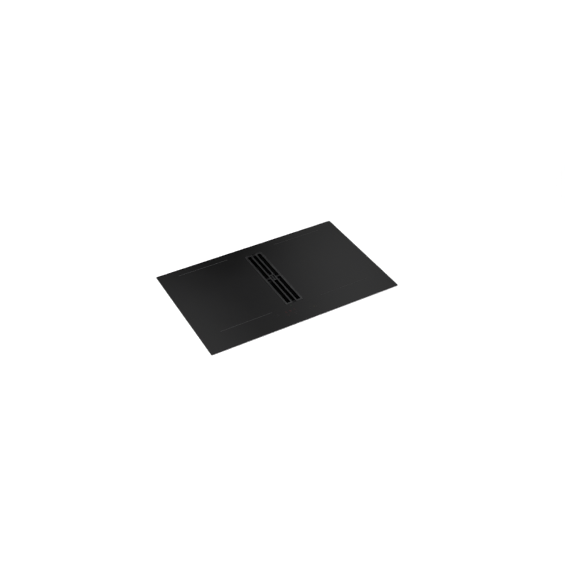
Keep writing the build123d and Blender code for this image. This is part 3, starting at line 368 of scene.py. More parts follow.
class Finish:
    """One material around a Principled shader, with helpers that wire shared groups into it."""

    def __init__(self, name, metallic=0.0, ior=1.5, coat=0.0, gloss=0.5):
        self.material = bpy.data.materials.new(name)
        self.tree = clean_tree(self.material)
        self.shader = add(self.tree, "ShaderNodeBsdfPrincipled")
        out = add(self.tree, "ShaderNodeOutputMaterial")
        self.tree.links.new(self.shader.outputs["BSDF"], out.inputs["Surface"])
        self.shader.inputs["Metallic"].default_value = metallic
        self.shader.inputs["IOR"].default_value = ior
        self.shader.inputs["Coat Weight"].default_value = coat
        self.shader.inputs["Specular IOR Level"].default_value = gloss

    def group(self, name, **inputs):
        node = add(self.tree, "ShaderNodeGroup", node_tree=shared(name))
        for label, value in inputs.items():
            node.inputs[label.replace("_", " ")].default_value = value
        return node

    def ramp(self, socket, low, high, start=0.3, end=0.7):
        """A number that runs from low to high as the mask runs from start to end."""
        return ease(self.tree, socket, start, end, low, high, "LINEAR")

    def mix(self, socket, first, second):
        """A colour that runs from first to second; either may be a socket."""
        node = add(self.tree, "ShaderNodeMix", data_type="RGBA")
        self.tree.links.new(socket, node.inputs["Factor"])
        for label, value in ((6, first), (7, second)):
            if isinstance(value, bpy.types.NodeSocket):
                self.tree.links.new(value, node.inputs[label])
            else:
                node.inputs[label].default_value = (*value, 1.0)
        return node.outputs[2]

    def tones(self, pattern, base, low, high):
        """A colour that a pattern makes darker and lighter."""
        return self.mix(pattern.outputs["Mask"], scaled(base, low), scaled(base, high))

    def feed(self, label, socket):
        self.tree.links.new(socket, self.shader.inputs[label])

    def bump(self, height, depth, strength=1.0):
        node = add(self.tree, "ShaderNodeBump")
        node.inputs["Distance"].default_value = depth
        node.inputs["Strength"].default_value = strength
        self.tree.links.new(height, node.inputs["Height"])
        self.feed("Normal", node.outputs["Normal"])

    def skin(self, pattern, wear, base, tones, rough, depth, strength):
        """Colour, roughness and height from one pattern, and a third tone along worn edges."""
        low, high, edge = tones
        body = self.tones(pattern, base, low, high)
        self.feed("Base Color", self.mix(wear.outputs["Mask"], body, scaled(base, edge)))
        self.feed("Roughness", self.ramp(pattern.outputs["Mask"], *rough))
        self.bump(pattern.outputs["Height"], depth, strength)
        return self.material


def finish_glass():
    """Polished black glass with faint wiping marks and a hardly uneven surface."""
    look = settings().glass
    made = Finish("black_glass", ior=1.52)
    wipe = made.group("Mottle", Scale=9.0, Grain_scale=260.0, Grain_share=0.25)
    made.feed("Base Color", made.tones(wipe, look.tint, 0.8, 1.3))
    made.feed("Roughness", made.ramp(wipe.outputs["Mask"], look.roughness, look.roughness + look.smudge))
    wave = made.group("Mottle", Scale=14.0, Grain_scale=30.0, Grain_share=0.5)
    made.bump(wave.outputs["Mask"], 0.02 * MM, 0.5)
    return made.material


def finish_ink(name, ink):
    """Matt ceramic ink."""
    made = Finish(name)
    made.shader.inputs["Roughness"].default_value = 0.5
    spots = made.group("Mottle", Scale=400.0, Grain_scale=2500.0, Grain_share=0.5)
    made.feed("Base Color", made.tones(spots, ink, 0.75, 1.2))
    return made.material


def finish_display(name, light):
    """A dim lamp or digit seen through the dark glass."""
    made = Finish(name)
    spots = made.group("Mottle", Scale=300.0, Grain_scale=1500.0, Grain_share=0.5)
    made.feed("Base Color", made.tones(spots, light, 0.1, 0.2))
    made.feed("Emission Color", made.tones(spots, light, 0.7, 1.2))
    made.shader.inputs["Emission Strength"].default_value = 1.0
    made.shader.inputs["Roughness"].default_value = 0.3
    return made.material


def finish_coated(name, base, rough, gloss):
    """Coated sheet: fine orange peel, and paler edges where the coat is thin."""
    made = Finish(name, gloss=gloss)
    peel = made.group("Mottle", Scale=40.0, Grain_scale=700.0, Grain_share=0.4)
    wear = made.group("Edge wear and highlight", Breakup_scale=260.0, Softness=0.3)
    return made.skin(peel, wear, base, (0.85, 1.15, 2.0), (rough - 0.05, rough + 0.08), 0.03 * MM, 0.6)


# Depths below the top of the bars, where a coat or its painted shade begins and where it is full
SATIN_DEPTHS = (0.6 * MM, 0.3 * MM)     # satin metal over the cast coat
PAINTED_SHADE_DEPTHS = (1.8 * MM, 1.0 * MM)      # painted shade deep in the recesses, over which the cast coat darkens to its darkest tone


def finish_grille():
    """Satin metal on the tops of the bars, with a painted highlight along their edges; every face below them
    has a darker cast coat that is partly painted shade, and is darker still deep in the recesses as painted
    shade.
    """
    look = settings().metal
    made = Finish("grille_coat_and_shade", metallic=1.0)
    peel = made.group("Mottle", Scale=40.0, Grain_scale=700.0, Grain_share=0.4)
    wear = made.group("Edge wear and highlight", Breakup_scale=260.0, Softness=0.3)
    height = axes_of(made.tree, add(made.tree, "ShaderNodeTexCoord").outputs["Object"])["Z"]
    high, painted_shade_fade = (made.ramp(height, 0.0, 1.0, GRILLE_TOP - start, GRILLE_TOP - end)
                  for start, end in (SATIN_DEPTHS, PAINTED_SHADE_DEPTHS))
    # the paler edge tone is partly worn coat and partly a painted highlight
    satin = made.mix(wear.outputs["Mask"], made.tones(peel, look.grille, 0.85, 1.15), look.grille_edge_wear_and_highlight)
    # painted shade: below the tops the coat is darker partly as shade, and darkest deep in the recesses
    cast = made.mix(painted_shade_fade, scaled(look.grille_cast_and_shade, 0.75), made.tones(peel, look.grille_cast_and_shade, 0.8, 1.2))
    made.feed("Base Color", made.mix(high, cast, satin))
    rough = math_node(made.tree, "ADD", made.ramp(peel.outputs["Mask"], 0.11, 0.24),
                      made.ramp(high, 0.16, 0.0, 0.0, 1.0))
    made.feed("Roughness", rough)
    made.bump(peel.outputs["Height"], 0.03 * MM, 0.6)
    return made.material


def finish_metal(name, base, group, scale, rough):
    """Bare metal: its own pattern changes colour, roughness and height, and edges are brighter."""
    made = Finish(name, metallic=1.0)
    pattern = made.group(group, Scale=scale)
    wear = made.group("Edge wear and highlight", Breakup_scale=400.0, Softness=0.5)
    return made.skin(pattern, wear, base, (0.88, 1.12, 1.3), (rough - 0.08, rough + 0.1), 0.01 * MM, 0.5)


def finish_plastic(name, base, rough=0.5, grain=1400.0, depth=0.03 * MM, gloss=0.5):
    """Moulded plastic with a fine spark-eroded texture and a little wear along edges."""
    made = Finish(name, ior=1.48, gloss=gloss)
    spark = made.group("Mottle", Scale=25.0, Grain_scale=grain, Grain_share=0.5)
    wear = made.group("Edge wear and highlight", Breakup_scale=200.0, Softness=0.6)
    return made.skin(spark, wear, base, (0.85, 1.2, 1.6), (rough - 0.06, rough + 0.1), depth, 0.7)


RING_POWER = 3.0    # shape of the winding's rings: 2 is an ellipse, and more is squarer


def finish_winding(name, low, high):
    """Lacquered wire that runs in rounded rings about the middle of a coil's box, with painted shade in the
    grooves between the rings.
    """
    look = settings().metal
    made = Finish(name, metallic=1.0, coat=0.3)
    tree = made.tree
    middle, reach = (low + high) / 2, (high - low) / 2
    where = add(tree, "ShaderNodeTexCoord")
    moved = add(tree, "ShaderNodeVectorMath", operation="SUBTRACT")
    moved.inputs[1].default_value = middle
    tree.links.new(where.outputs["Object"], moved.inputs[0])
    place = axes_of(tree, moved.outputs[0])
    parts = []
    for label, half in (("X", reach.x), ("Y", reach.y)):
        part = math_node(tree, "ABSOLUTE", math_node(tree, "DIVIDE", place[label], half))
        parts.append(math_node(tree, "POWER", part, RING_POWER))
    ring = math_node(tree, "POWER", total_of(tree, *parts), 1 / RING_POWER)
    wave = math_node(tree, "SINE", math_node(tree, "MULTIPLY", ring, math.tau * look.winding_turns))
    strand = made.ramp(wave, 0.0, 1.0, -1.0, 0.6)
    lacquer = made.group("Mottle", Scale=60.0, Grain_scale=1200.0, Grain_share=0.5)
    wire = made.tones(lacquer, look.copper, 0.75, 1.25)
    # painted shade: the copper is darkened in the grooves between the rings of wire
    made.feed("Base Color", made.mix(strand, scaled(look.copper, 0.25), wire))
    made.feed("Roughness", made.ramp(lacquer.outputs["Mask"], 0.25, 0.45))
    made.bump(strand, 0.6 * MM, 0.9)
    return made.material


def finish_board():
    """Solder mask over copper tracks, as a brick pattern under a gloss coat."""
    made = Finish("circuit_board", coat=0.4)
    base = settings().plastic.board
    tracks = add(made.tree, "ShaderNodeTexBrick")
    tracks.inputs["Scale"].default_value = 90.0
    tracks.inputs["Mortar Size"].default_value = 0.03
    for label, factor in (("Color1", 0.8), ("Color2", 1.5), ("Mortar", 0.5)):
        tracks.inputs[label].default_value = (*scaled(base, factor), 1)
    made.tree.links.new(place_vector(made.tree), tracks.inputs["Vector"])
    made.feed("Base Color", tracks.outputs["Color"])
    made.bump(tracks.outputs["Fac"], 0.05 * MM)
    made.shader.inputs["Roughness"].default_value = 0.35
    return made.material


def all_finishes():
    """A finish for each slot of the record, apart from that of the windings, which have one each."""
    metal = settings().metal
    plastic = settings().plastic
    return {
        "black_glass": finish_glass(),
        "grille_metal": finish_grille(),
        "inlay_black": finish_plastic("hub_inlay", scaled(plastic.black, 0.25), 0.6, gloss=0.05),
        # painted shade: the chute, filter and tray are darker than their real black finishes, for the shade
        # deep in the intake
        "duct_black": finish_plastic("duct_black", scaled(plastic.black, 0.25), 0.7, gloss=0.04),
        "filter_steel": finish_coated("filter_coat_and_shade", metal.filter_coat_and_shade, 0.6, gloss=0.05),
        "sheet_steel": finish_metal("zinc_sheet", metal.zinc, "Zinc spangle", 90.0, 0.42),
        "spring_steel": finish_metal("spring_strip", metal.bright, "Rolled grain", 60.0, 0.3),
        "tray_steel": finish_coated("tray_enamel_and_shade", metal.enamel, 0.35, gloss=0.4),
        "screw_steel": finish_metal("plated_screws", metal.screw, "Zinc spangle", 500.0, 0.35),
        "aluminium": finish_metal("mill_aluminium", metal.aluminium, "Rolled grain", 50.0, 0.38),
        "black_plastic": finish_plastic("black_plastic", plastic.black, gloss=0.35),
        "grey_plastic": finish_plastic("blower_plastic", plastic.grey, 0.48, 900.0, 0.05 * MM),
        "white_plastic": finish_plastic("white_plastic", plastic.white, 0.45),
        "component_black": finish_plastic("component_black", scaled(plastic.black, 1.5), 0.4),
        "former_plastic": finish_plastic("coil_former", plastic.former, 0.55),
        "seal_foam": finish_plastic("seal_foam", plastic.foam, 0.85, 500.0, 0.15 * MM),
        "silicone": finish_plastic("silicone", scaled(plastic.foam, 2.0), 0.5, 100.0, 0.1 * MM),
        "pad_rubber": finish_plastic("pad_rubber", plastic.rubber, 0.7),
        "lead_sheath": finish_plastic("lead_sheath", plastic.rubber, 0.4, 300.0),
        "ferrite": finish_plastic("ferrite", plastic.ferrite, 0.6, 600.0),
        "magnet": finish_plastic("magnet", scaled(plastic.ferrite, 1.4), 0.5, 600.0),
        "mica": finish_plastic("mica", plastic.mica, 0.3, 300.0),
        "circuit_board": finish_board(),
    }


# Mesh helpers

def mesh_of(name, build):
    """Run a function that fills a bmesh, and return the mesh."""
    work = bmesh.new()
    build(work)
    bmesh.ops.recalc_face_normals(work, faces=work.faces)
    mesh = bpy.data.meshes.new(name)
    work.to_mesh(mesh)
    work.free()
    return mesh


def new_piece(name, build, body, material):
    """Put what a function builds in the scene, as a piece that rides on a body and has one finish."""
    piece = bpy.data.objects.new(name, mesh_of(name, build))
    bpy.context.scene.collection.objects.link(piece)
    piece.data.materials.append(material)
    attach(piece, body)
    return piece


def rectangle(half_x, half_y):
    """The plan corners of a rectangle around the middle."""
    return [(-half_x, -half_y), (half_x, -half_y), (half_x, half_y), (-half_x, half_y)]


def join_rings(work, near, far):
    """Close the space between two rings of points, and return the faces."""
    nexts = list(range(1, len(near))) + [0]
    return [work.faces.new((near[i], near[j], far[j], far[i])) for i, j in enumerate(nexts)]


def prism(work, outline, z0, z1):
    """A closed upright prism over an outline of plan points."""
    low = [work.verts.new((x, y, z0)) for x, y in outline]
    high = [work.verts.new((x, y, z1)) for x, y in outline]
    work.faces.new(list(reversed(low)))
    work.faces.new(high)
    join_rings(work, low, high)


def pill(x0, x1, y, width, steps=6):
    """The plan outline of a line with round ends, along X."""
    half = width / 2
    points = []
    for middle, start in ((x1 - half, -math.pi / 2), (x0 + half, math.pi / 2)):
        for i in range(steps + 1):
            turn = start + math.pi * i / steps
            points.append((middle + half * math.cos(turn), y + half * math.sin(turn)))
    return points


def bar_between(work, start, end, width, thick, normal):
    """A straight closed strip between two points, flat against a normal."""
    along = (end - start).normalized()
    across = along.cross(normal).normalized() * width / 2
    up = normal.normalized() * thick / 2
    ring = [across + up, across - up, -across - up, -across + up]
    first = [work.verts.new(start + corner) for corner in ring]
    last = [work.verts.new(end + corner) for corner in ring]
    work.faces.new(list(reversed(first)))
    work.faces.new(last)
    join_rings(work, first, last)


def ring_marks(work, x, y, outer, inner, z0, z1, start, sweep, steps):
    """A flat ring or part of one, as a closed band."""
    closed = sweep > math.tau - 0.01
    count = steps if closed else steps + 1
    rows = []
    for i in range(count):
        turn = start + sweep * i / steps
        c, s = math.cos(turn), math.sin(turn)
        rows.append([work.verts.new((x + r * c, y + r * s, z)) for r, z in
                     ((outer, z0), (outer, z1), (inner, z1), (inner, z0))])
    for near, far in zip(rows, rows[1:] + rows[:1] if closed else rows[1:]):
        join_rings(work, near, far)
    if not closed:
        work.faces.new(list(reversed(rows[0])))
        work.faces.new(rows[-1])


LEAST_SIZE = 0.02   # of a bead's section at its very ends, so that no face is empty


def bead(work, start, end, width, rise, normal, steps=8):
    """A rounded ridge with round ends that stands out from a wall, from start to end."""
    along = (end - start).normalized()
    across = along.cross(normal).normalized()
    radius = width / 2
    stations = []
    for i in range(steps + 1):
        turn = math.pi / 2 * i / steps
        stations.append((start + along * radius * (1 - math.cos(turn)), max(math.sin(turn), LEAST_SIZE)))
    stations += [(end - (place - start), size) for place, size in reversed(stations)]
    rows = []
    for place, size in stations:
        row = []
        for i in range(steps + 1):
            turn = math.pi * i / steps
            side = across * radius * size * math.cos(turn)
            row.append(work.verts.new(place + side + normal * rise * size * math.sin(turn)))
        rows.append(row)
    for near, far in zip(rows, rows[1:]):
        for face in join_rings(work, near, far)[:-1]:
            face.smooth = True
    work.faces.new(list(reversed(rows[0])))
    work.faces.new(rows[-1])


finishes = {}   # by slot, filled in main


def coat(node, material):
    """Give a carried-over node one material."""
    materials = frame["nodes"][node].data.materials
    materials.clear()
    materials.append(material)


# Operators

class PieceOperator:
    """What every operator here shares: it finishes its nodes by their slots, then builds what is its own."""
    bl_options = {"REGISTER", "UNDO"}
    nodes = ()

    def execute(self, context):
        for node in self.nodes:
            coat(node, finishes[SLOTS[node]])
        self.build(context)
        return {"FINISHED"}

    def build(self, context):
        """Nothing, where an operator only gives finishes."""


class COOKTOP_OT_camera(PieceOperator, Operator):
    """Place the camera"""
    bl_idname = "cooktop.camera"
    bl_label = "Camera"

    def build(self, context):
        view = settings().camera
        a, e = view.azimuth, view.elevation
        back = Vector((math.sin(a) * math.cos(e), -math.cos(a) * math.cos(e), math.sin(e)))
        right = UP.cross(back).normalized()
        up = back.cross(right)
        turned_right = math.cos(view.roll) * right + math.sin(view.roll) * up
        turned_up = math.cos(view.roll) * up - math.sin(view.roll) * right
        place = turned_right * view.beside + turned_up * view.above + back * view.distance
        lens = bpy.data.cameras.new("camera")
        lens.lens = view.lens
        lens.clip_end = 100.0   # metres, beyond the corners of the floor
        camera = bpy.data.objects.new("camera", lens)
        context.scene.collection.objects.link(camera)
        axes = Matrix((turned_right, turned_up, back)).transposed()
        camera.matrix_world = Matrix.Translation(place) @ axes.to_4x4()
        context.scene.camera = camera


GLOW_REACH = (0.9, 4.0)     # metres from the middle, where the near glow ends and the far one is full


def floor_material(name, see_through_from_below):
    """Pale matt floor that reads as white to the camera and in reflections, and keeps shadows."""
    look = settings().studio
    material = bpy.data.materials.new(name)
    tree = clean_tree(material)
    matt = add(tree, "ShaderNodeBsdfDiffuse")
    matt.inputs["Color"].default_value = (*look.floor_colour, 1)
    glow = add(tree, "ShaderNodeEmission")
    glow.inputs["Color"].default_value = (1, 1, 1, 1)
    path = add(tree, "ShaderNodeLightPath")
    rays = total_of(tree, *(path.outputs[f"Is {kind} Ray"] for kind in ("Camera", "Glossy", "Transmission")))
    seen = math_node(tree, "MINIMUM", rays, 1.0)
    where = add(tree, "ShaderNodeTexCoord")
    reach = add(tree, "ShaderNodeVectorMath", operation="LENGTH")
    tree.links.new(where.outputs["Object"], reach.inputs[0])
    strength = ease(tree, reach.outputs["Value"], *GLOW_REACH, look.near_glow, look.far_glow)
    tree.links.new(math_node(tree, "MULTIPLY", seen, strength), glow.inputs["Strength"])
    both = add(tree, "ShaderNodeAddShader")
    tree.links.new(matt.outputs[0], both.inputs[0])
    tree.links.new(glow.outputs[0], both.inputs[1])
    out = add(tree, "ShaderNodeOutputMaterial")
    surface = both.outputs[0]
    if see_through_from_below:
        side = add(tree, "ShaderNodeNewGeometry")
        clear = add(tree, "ShaderNodeBsdfTransparent")
        pick = add(tree, "ShaderNodeMixShader")
        tree.links.new(side.outputs["Backfacing"], pick.inputs[0])
        tree.links.new(surface, pick.inputs[1])
        tree.links.new(clear.outputs[0], pick.inputs[2])
        surface = pick.outputs[0]
    tree.links.new(surface, out.inputs["Surface"])
    return material


# The sky in degrees. A height is above the horizon, and a bearing runs from the back to the right. A span
# is where one part gives way to the next.
HORIZON_SPAN = (16.0, 32.5)     # heights, from the white horizon to the soft boxes
ZENITH_SPAN = (45.0, 60.0)      # heights, from the soft boxes to the plain sky overhead
GAP_HEIGHT = 38.0               # height at which the gap's edges have the bearings below
GAP_LEFT = (17.0, 24.5)         # bearings, from the left box to the gap
GAP_RIGHT = (25.5, 35.5)        # bearings, from the gap to the right box
GAP_RIGHT_LEAN = 0.6            # how far the gap's right edge leans, where its left edge leans by 1
BOX_SLOPE = (13.0, 40.0)        # bearings over which the boxes' lower edge comes down
BOX_SHIFT = (-3.9, 3.1)         # how far it has come down there, from its middle height
BOX_LOW_SPAN = (34.5, 39.5)     # heights over which a box brightens from its lower edge
BOX_HIGH_SPAN = (39.5, 43.0)    # heights over which it brightens a little more
BOX_HIGH_GAIN = 0.06
BOX_FAR_SPAN = (37.0, 40.0)     # bearings over which the right box dims again
BOX_FAR_LOSS = 0.1
BOX_LEAST = 0.02                # strength that no part of the boxes falls below
FLAG_SPAN = (-0.35, -0.6)       # Y of the direction, where the shade behind the camera begins and is full
FLAG_HEIGHTS = (8.0, 14.0)      # heights over which that shade sets in


def world_light(context):
    """A soft studio sky: white at the horizon, darker above, with a dim gap between two soft boxes."""
    look = settings().studio
    world = bpy.data.worlds.new("studio")
    tree = clean_tree(world)
    x, y, z = axes_of(tree, add(tree, "ShaderNodeTexCoord").outputs["Generated"])
    degrees = 180 / math.pi
    bearing = math_node(tree, "MULTIPLY", math_node(tree, "ARCTAN2", x, y), degrees)
    height = math_node(tree, "MULTIPLY", math_node(tree, "ARCSINE", z), degrees)
    lift = math_node(tree, "SUBTRACT", height, GAP_HEIGHT)
    slanted = math_node(tree, "ADD", height, ease(tree, bearing, *BOX_SLOPE, *BOX_SHIFT, "LINEAR"))
    left_edge = math_node(tree, "SUBTRACT", bearing, lift)
    right_edge = math_node(tree, "SUBTRACT", bearing, math_node(tree, "MULTIPLY", lift, GAP_RIGHT_LEAN))
    boxes = total_of(tree, ease(tree, left_edge, *GAP_LEFT, look.box_left, 0.0),
                     ease(tree, right_edge, *GAP_RIGHT, 0.0, look.box_right),
                     ease(tree, slanted, *BOX_LOW_SPAN, -look.low_shade, 0.0),
                     ease(tree, slanted, *BOX_HIGH_SPAN, 0.0, BOX_HIGH_GAIN),
                     ease(tree, right_edge, *BOX_FAR_SPAN, 0.0, -BOX_FAR_LOSS), look.gap)
    boxes = math_node(tree, "MAXIMUM", boxes, BOX_LEAST)
    above = ease(tree, height, *ZENITH_SPAN, 0.0, 1.0)
    below = math_node(tree, "SUBTRACT", 1.0, above)
    upper = math_node(tree, "ADD", math_node(tree, "MULTIPLY", boxes, below),
                      math_node(tree, "MULTIPLY", above, look.zenith))
    white = ease(tree, height, *HORIZON_SPAN, look.horizon, 0.0)
    fade = ease(tree, height, *HORIZON_SPAN, 0.0, 1.0)
    sky = math_node(tree, "ADD", white, math_node(tree, "MULTIPLY", upper, fade))
    behind = ease(tree, y, *FLAG_SPAN, 0.0, look.flag)
    raised = ease(tree, height, *FLAG_HEIGHTS, 0.0, 1.0)
    shade = math_node(tree, "SUBTRACT", 1.0, math_node(tree, "MULTIPLY", behind, raised))
    backdrop = add(tree, "ShaderNodeBackground")
    backdrop.inputs["Color"].default_value = (1, 1, 1, 1)
    tree.links.new(math_node(tree, "MULTIPLY", sky, shade), backdrop.inputs["Strength"])
    out = add(tree, "ShaderNodeOutputWorld")
    tree.links.new(backdrop.outputs[0], out.inputs["Surface"])
    context.scene.world = world


def add_lamp(context, name, place, aim, side, power, mirrored):
    """A square soft lamp; one that isn't mirrored leaves no bright patch on the glass."""
    lamp = bpy.data.lights.new(name, "AREA")
    lamp.shape = "SQUARE"
    lamp.size = side
    lamp.energy = power
    holder = bpy.data.objects.new(name, lamp)
    context.scene.collection.objects.link(holder)
    direction = Vector(aim) - Vector(place)
    turn = direction.to_track_quat("-Z", "Y").to_matrix().to_4x4()
    holder.matrix_world = Matrix.Translation(place) @ turn
    holder.visible_glossy = mirrored


class COOKTOP_OT_stage(PieceOperator, Operator):
    """Make the worktop plane with its cut-out, the floor under the body, the lamps and the sky"""
    bl_idname = "cooktop.stage"
    bl_label = "Stage"

    def build(self, context):
        look = settings().studio
        outer = rectangle(look.floor_reach, look.floor_reach)
        inner = rectangle(look.cutout_width / 2, look.cutout_depth / 2)

        def worktop(work):
            far, near = ([work.verts.new((x, y, -STAGE_GAP)) for x, y in corners]
                         for corners in (outer, inner))
            join_rings(work, far, near)

        def floor(work):
            work.faces.new([work.verts.new((x, y, BLOWER_LOW - STAGE_GAP)) for x, y in outer])

        for name, build, clear in (("worktop_plane", worktop, True), ("floor", floor, False)):
            mesh = mesh_of(name, build)
            for face in mesh.polygons:
                if face.normal.z < 0:
                    face.flip()
            plane = bpy.data.objects.new(name, mesh)
            context.scene.collection.objects.link(plane)
            mesh.materials.append(floor_material(name, clear))
            if clear:
                plane.visible_shadow = False
                plane.visible_diffuse = False
        world_light(context)
        add_lamp(context, "key", place=(-1.2, 0.6, 2.6), aim=(0, 0, 0), side=2.2, power=look.key_power,
                 mirrored=False)
        add_lamp(context, "fill", place=(-0.6, -2.6, 1.6), aim=(0, 0, -0.1), side=1.6, power=look.fill_power,
                 mirrored=True)


class COOKTOP_OT_glass(PieceOperator, Operator):
    """Finish the glass plate, its seal and its bond"""
    bl_idname = "cooktop.glass"
    bl_label = "Glass"
    nodes = ("glass_top", "worktop_seal", "glass_bond")


class COOKTOP_OT_zone_lines(PieceOperator, Operator):
    """Print the thin lines in front of and behind the cooking zones"""
    bl_idname = "cooktop.zone_lines"
    bl_label = "Zone lines"

    def build(self, context):
        look = settings().glass
        for side, word, tone in ((-1, "left", look.ink), (1, "right", look.right_ink)):
            ink = finish_ink(f"line_ink_{word}", tone)

            def lines(work):
                middle, half = side * look.line_middle, look.line_length / 2
                for y in (look.line_front, look.line_back):
                    outline = pill(middle - half, middle + half, y, look.line_width)
                    prism(work, outline, GLASS_TOP, GLASS_TOP + PRINT_LIFT)

            new_piece(f"zone_lines_{word}", lines, "appliance", ink)


# The strips of each digit, and the ends of each strip in digit widths and half heights
SEGMENTS = {"5": "afgcd", "7": "abc", "9": "abcdfg"}
STRIPS = {"a": ((0, 2), (1, 2)), "b": ((1, 2), (1, 1)), "c": ((1, 1), (1, 0)), "d": ((0, 0), (1, 0)),
          "f": ((0, 1), (0, 2)), "g": ((0, 1), (1, 1))}


def digit(work, text, x, y, high, z):
    """One seven-segment digit as separate flat strips, lower left corner at x, y."""
    wide, thick = high * 0.5, high * 0.1
    lean = 0.12
    for name in SEGMENTS[text]:
        ends = []
        for px, py in STRIPS[name]:
            rise = py * high / 2
            ends.append(Vector((x + px * wide + lean * rise, y + rise, z)))
        gap = (ends[1] - ends[0]).normalized() * thick * 0.75
        bar_between(work, ends[0] + gap, ends[1] - gap, thick, PRINT_LIFT, UP)


# The touch controls in millimetres: X from the middle of the glass, and Y from the strip's own line
SWITCH_X, FAN_X, MINUS_X = -98, 98, 14
SLIDERS = ((-60, 6), (-30, 4), (30, 0), (60, 0))    # each with how many of its dashes are lit
SLIDER_Y, RING_Y = -16, -24
SLIDER_DASHES, SLIDER_START, SLIDER_PITCH = 9, -8, 2    # the first dash stands left of the slider's middle
DASH_WIDTH, STROKE_WIDTH = 0.9, 0.5
DIGITS = ((-64, "5"), (-46, "9"), (-28, "7"))
LOCK_LAMP, FAN_LAMP = (-24, 28), (52, -20)
LAMP_RADIUS, LAMP_WIDTH = 1.5, 1.2                  # a lamp is a ring with a pinhole


class COOKTOP_OT_touch_marks(PieceOperator, Operator):
    """Print the touch controls and light the dim digits"""
    bl_idname = "cooktop.touch_marks"
    bl_label = "Touch marks"

    def build(self, context):
        look = settings().glass
        y = look.touch_middle
        z0, z1 = GLASS_TOP, GLASS_TOP + PRINT_LIFT
        top = (z0 + z1) / 2

        def ring(work, place, outer, width, start=0, sweep=360, steps=24):
            """A ring or an arc around a place, in millimetres and degrees."""
            ring_marks(work, place[0] * MM, y + place[1] * MM, outer * MM, (outer - width) * MM, z0, z1,
                       math.radians(start), math.radians(sweep), steps)

        def stroke(work, start, end):
            """A thin straight line between two places in millimetres."""
            ends = [Vector((px * MM, y + py * MM, top)) for px, py in (start, end)]
            bar_between(work, *ends, STROKE_WIDTH * MM, PRINT_LIFT, UP)

        def slider(work, x, first, last):
            """Some of the short dashes of a slider."""
            for row in range(first, last):
                start = (x + SLIDER_START + SLIDER_PITCH * row) * MM
                dash = pill(start, start + DASH_WIDTH * MM, y + SLIDER_Y * MM, DASH_WIDTH * MM)
                prism(work, dash, z0, z1)

        def marks(work):
            ring(work, (SWITCH_X, 0), 4.2, 0.5, start=125, sweep=290)
            stroke(work, (SWITCH_X, 1.5), (SWITCH_X, 5))
            for place, lit in SLIDERS:
                slider(work, place, lit, SLIDER_DASHES)
                ring(work, (place, RING_Y), 2.2, 0.4)
            for x in (-MINUS_X, MINUS_X):
                stroke(work, (x - 2, SLIDER_Y), (x + 2, SLIDER_Y))
            for outer in (2.0, 3.4, 4.8):
                ring(work, (FAN_X, 0), outer, 0.4, start=30, sweep=120, steps=12)

        def digits(work):
            high = look.digit_high
            for place, text in DIGITS:
                digit(work, text, place * MM, y - high / 2, high, top)

        def lit_sliders(work):
            for place, lit in SLIDERS:
                slider(work, place, 0, lit)

        def lock_lamp(work):
            ring(work, LOCK_LAMP, LAMP_RADIUS, LAMP_WIDTH)

        def fan_lamp(work):
            ring(work, FAN_LAMP, LAMP_RADIUS, LAMP_WIDTH)

        for name, build, finish in (
            ("touch_marks", marks, finish_ink("touch_ink", look.faint_ink)),
            ("display_digits", digits, finish_display("display_red", look.display)),
            ("slider_lamps", lit_sliders, finish_display("slider_red", scaled(look.display, 0.8))),
            ("lock_lamp", lock_lamp, finish_display("lock_lamp", look.green)),
            ("fan_lamp", fan_lamp, finish_display("fan_lamp", look.amber)),
        ):
            new_piece(name, build, "appliance", finish)


class COOKTOP_OT_grille(PieceOperator, Operator):
    """Finish the intake grille, its inlay and its pads"""
    bl_idname = "cooktop.grille"
    bl_label = "Intake grille"
    nodes = ("intake_grille", "grille_inlay", "grille_pads")


def crossed_strands(work, corner, along, across, pitch, width, thick):
    """Two layers of slanted strands that fill a rectangle given by a corner and two edges."""
    length_along, length_across = along.length, across.length
    u, v = along.normalized(), across.normalized()
    normal = u.cross(v)
    step = pitch * math.sqrt(2)
    count = int((length_along + length_across) / step)
    for lean in (1, -1):
        for i in range(1, count + 1):
            offset = i * step
            start = (offset, 0.0) if offset < length_along else (length_along, offset - length_along)
            end = (0.0, offset) if offset < length_across else (offset - length_across, length_across)
            if lean < 0:
                start, end = ((length_along - p, q) for p, q in (start, end))
            a, b = (corner + u * p + v * q + normal * lean * thick / 2 for p, q in (start, end))
            if (b - a).length > pitch / 2:
                bar_between(work, a, b, width, thick, normal)


class COOKTOP_OT_filter(PieceOperator, Operator):
    """Weave the grease mesh in place of its plain trough, and finish the frame, grip and tray"""
    bl_idname = "cooktop.grease_filter"
    bl_label = "Grease filter"
    nodes = ("grease_filter_frame", "grease_filter_grip", "drip_tray")

    def build(self, context):
        look = settings().metal
        low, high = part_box("grease_filter_mesh")
        inset = Vector((1, 1, 1)) * look.filter_inset
        corner, size = low + inset, high - low - 2 * inset
        wide, long, tall = Vector((size.x, 0, 0)), Vector((0, size.y, 0)), Vector((0, 0, size.z))
        width = look.filter_strand

        def weave(work):
            floor = (corner, long, wide)
            sides = ((corner, long, tall), (corner + wide, long, tall))
            ends = ((corner, wide, tall), (corner + long, wide, tall))
            for start, along, across in (floor, *sides, *ends):
                crossed_strands(work, start, along, across, look.filter_pitch, width, width / 2)

        piece = new_piece("grease_mesh", weave, "grease_filter", finishes["filter_steel"])
        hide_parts("grease_filter_mesh")


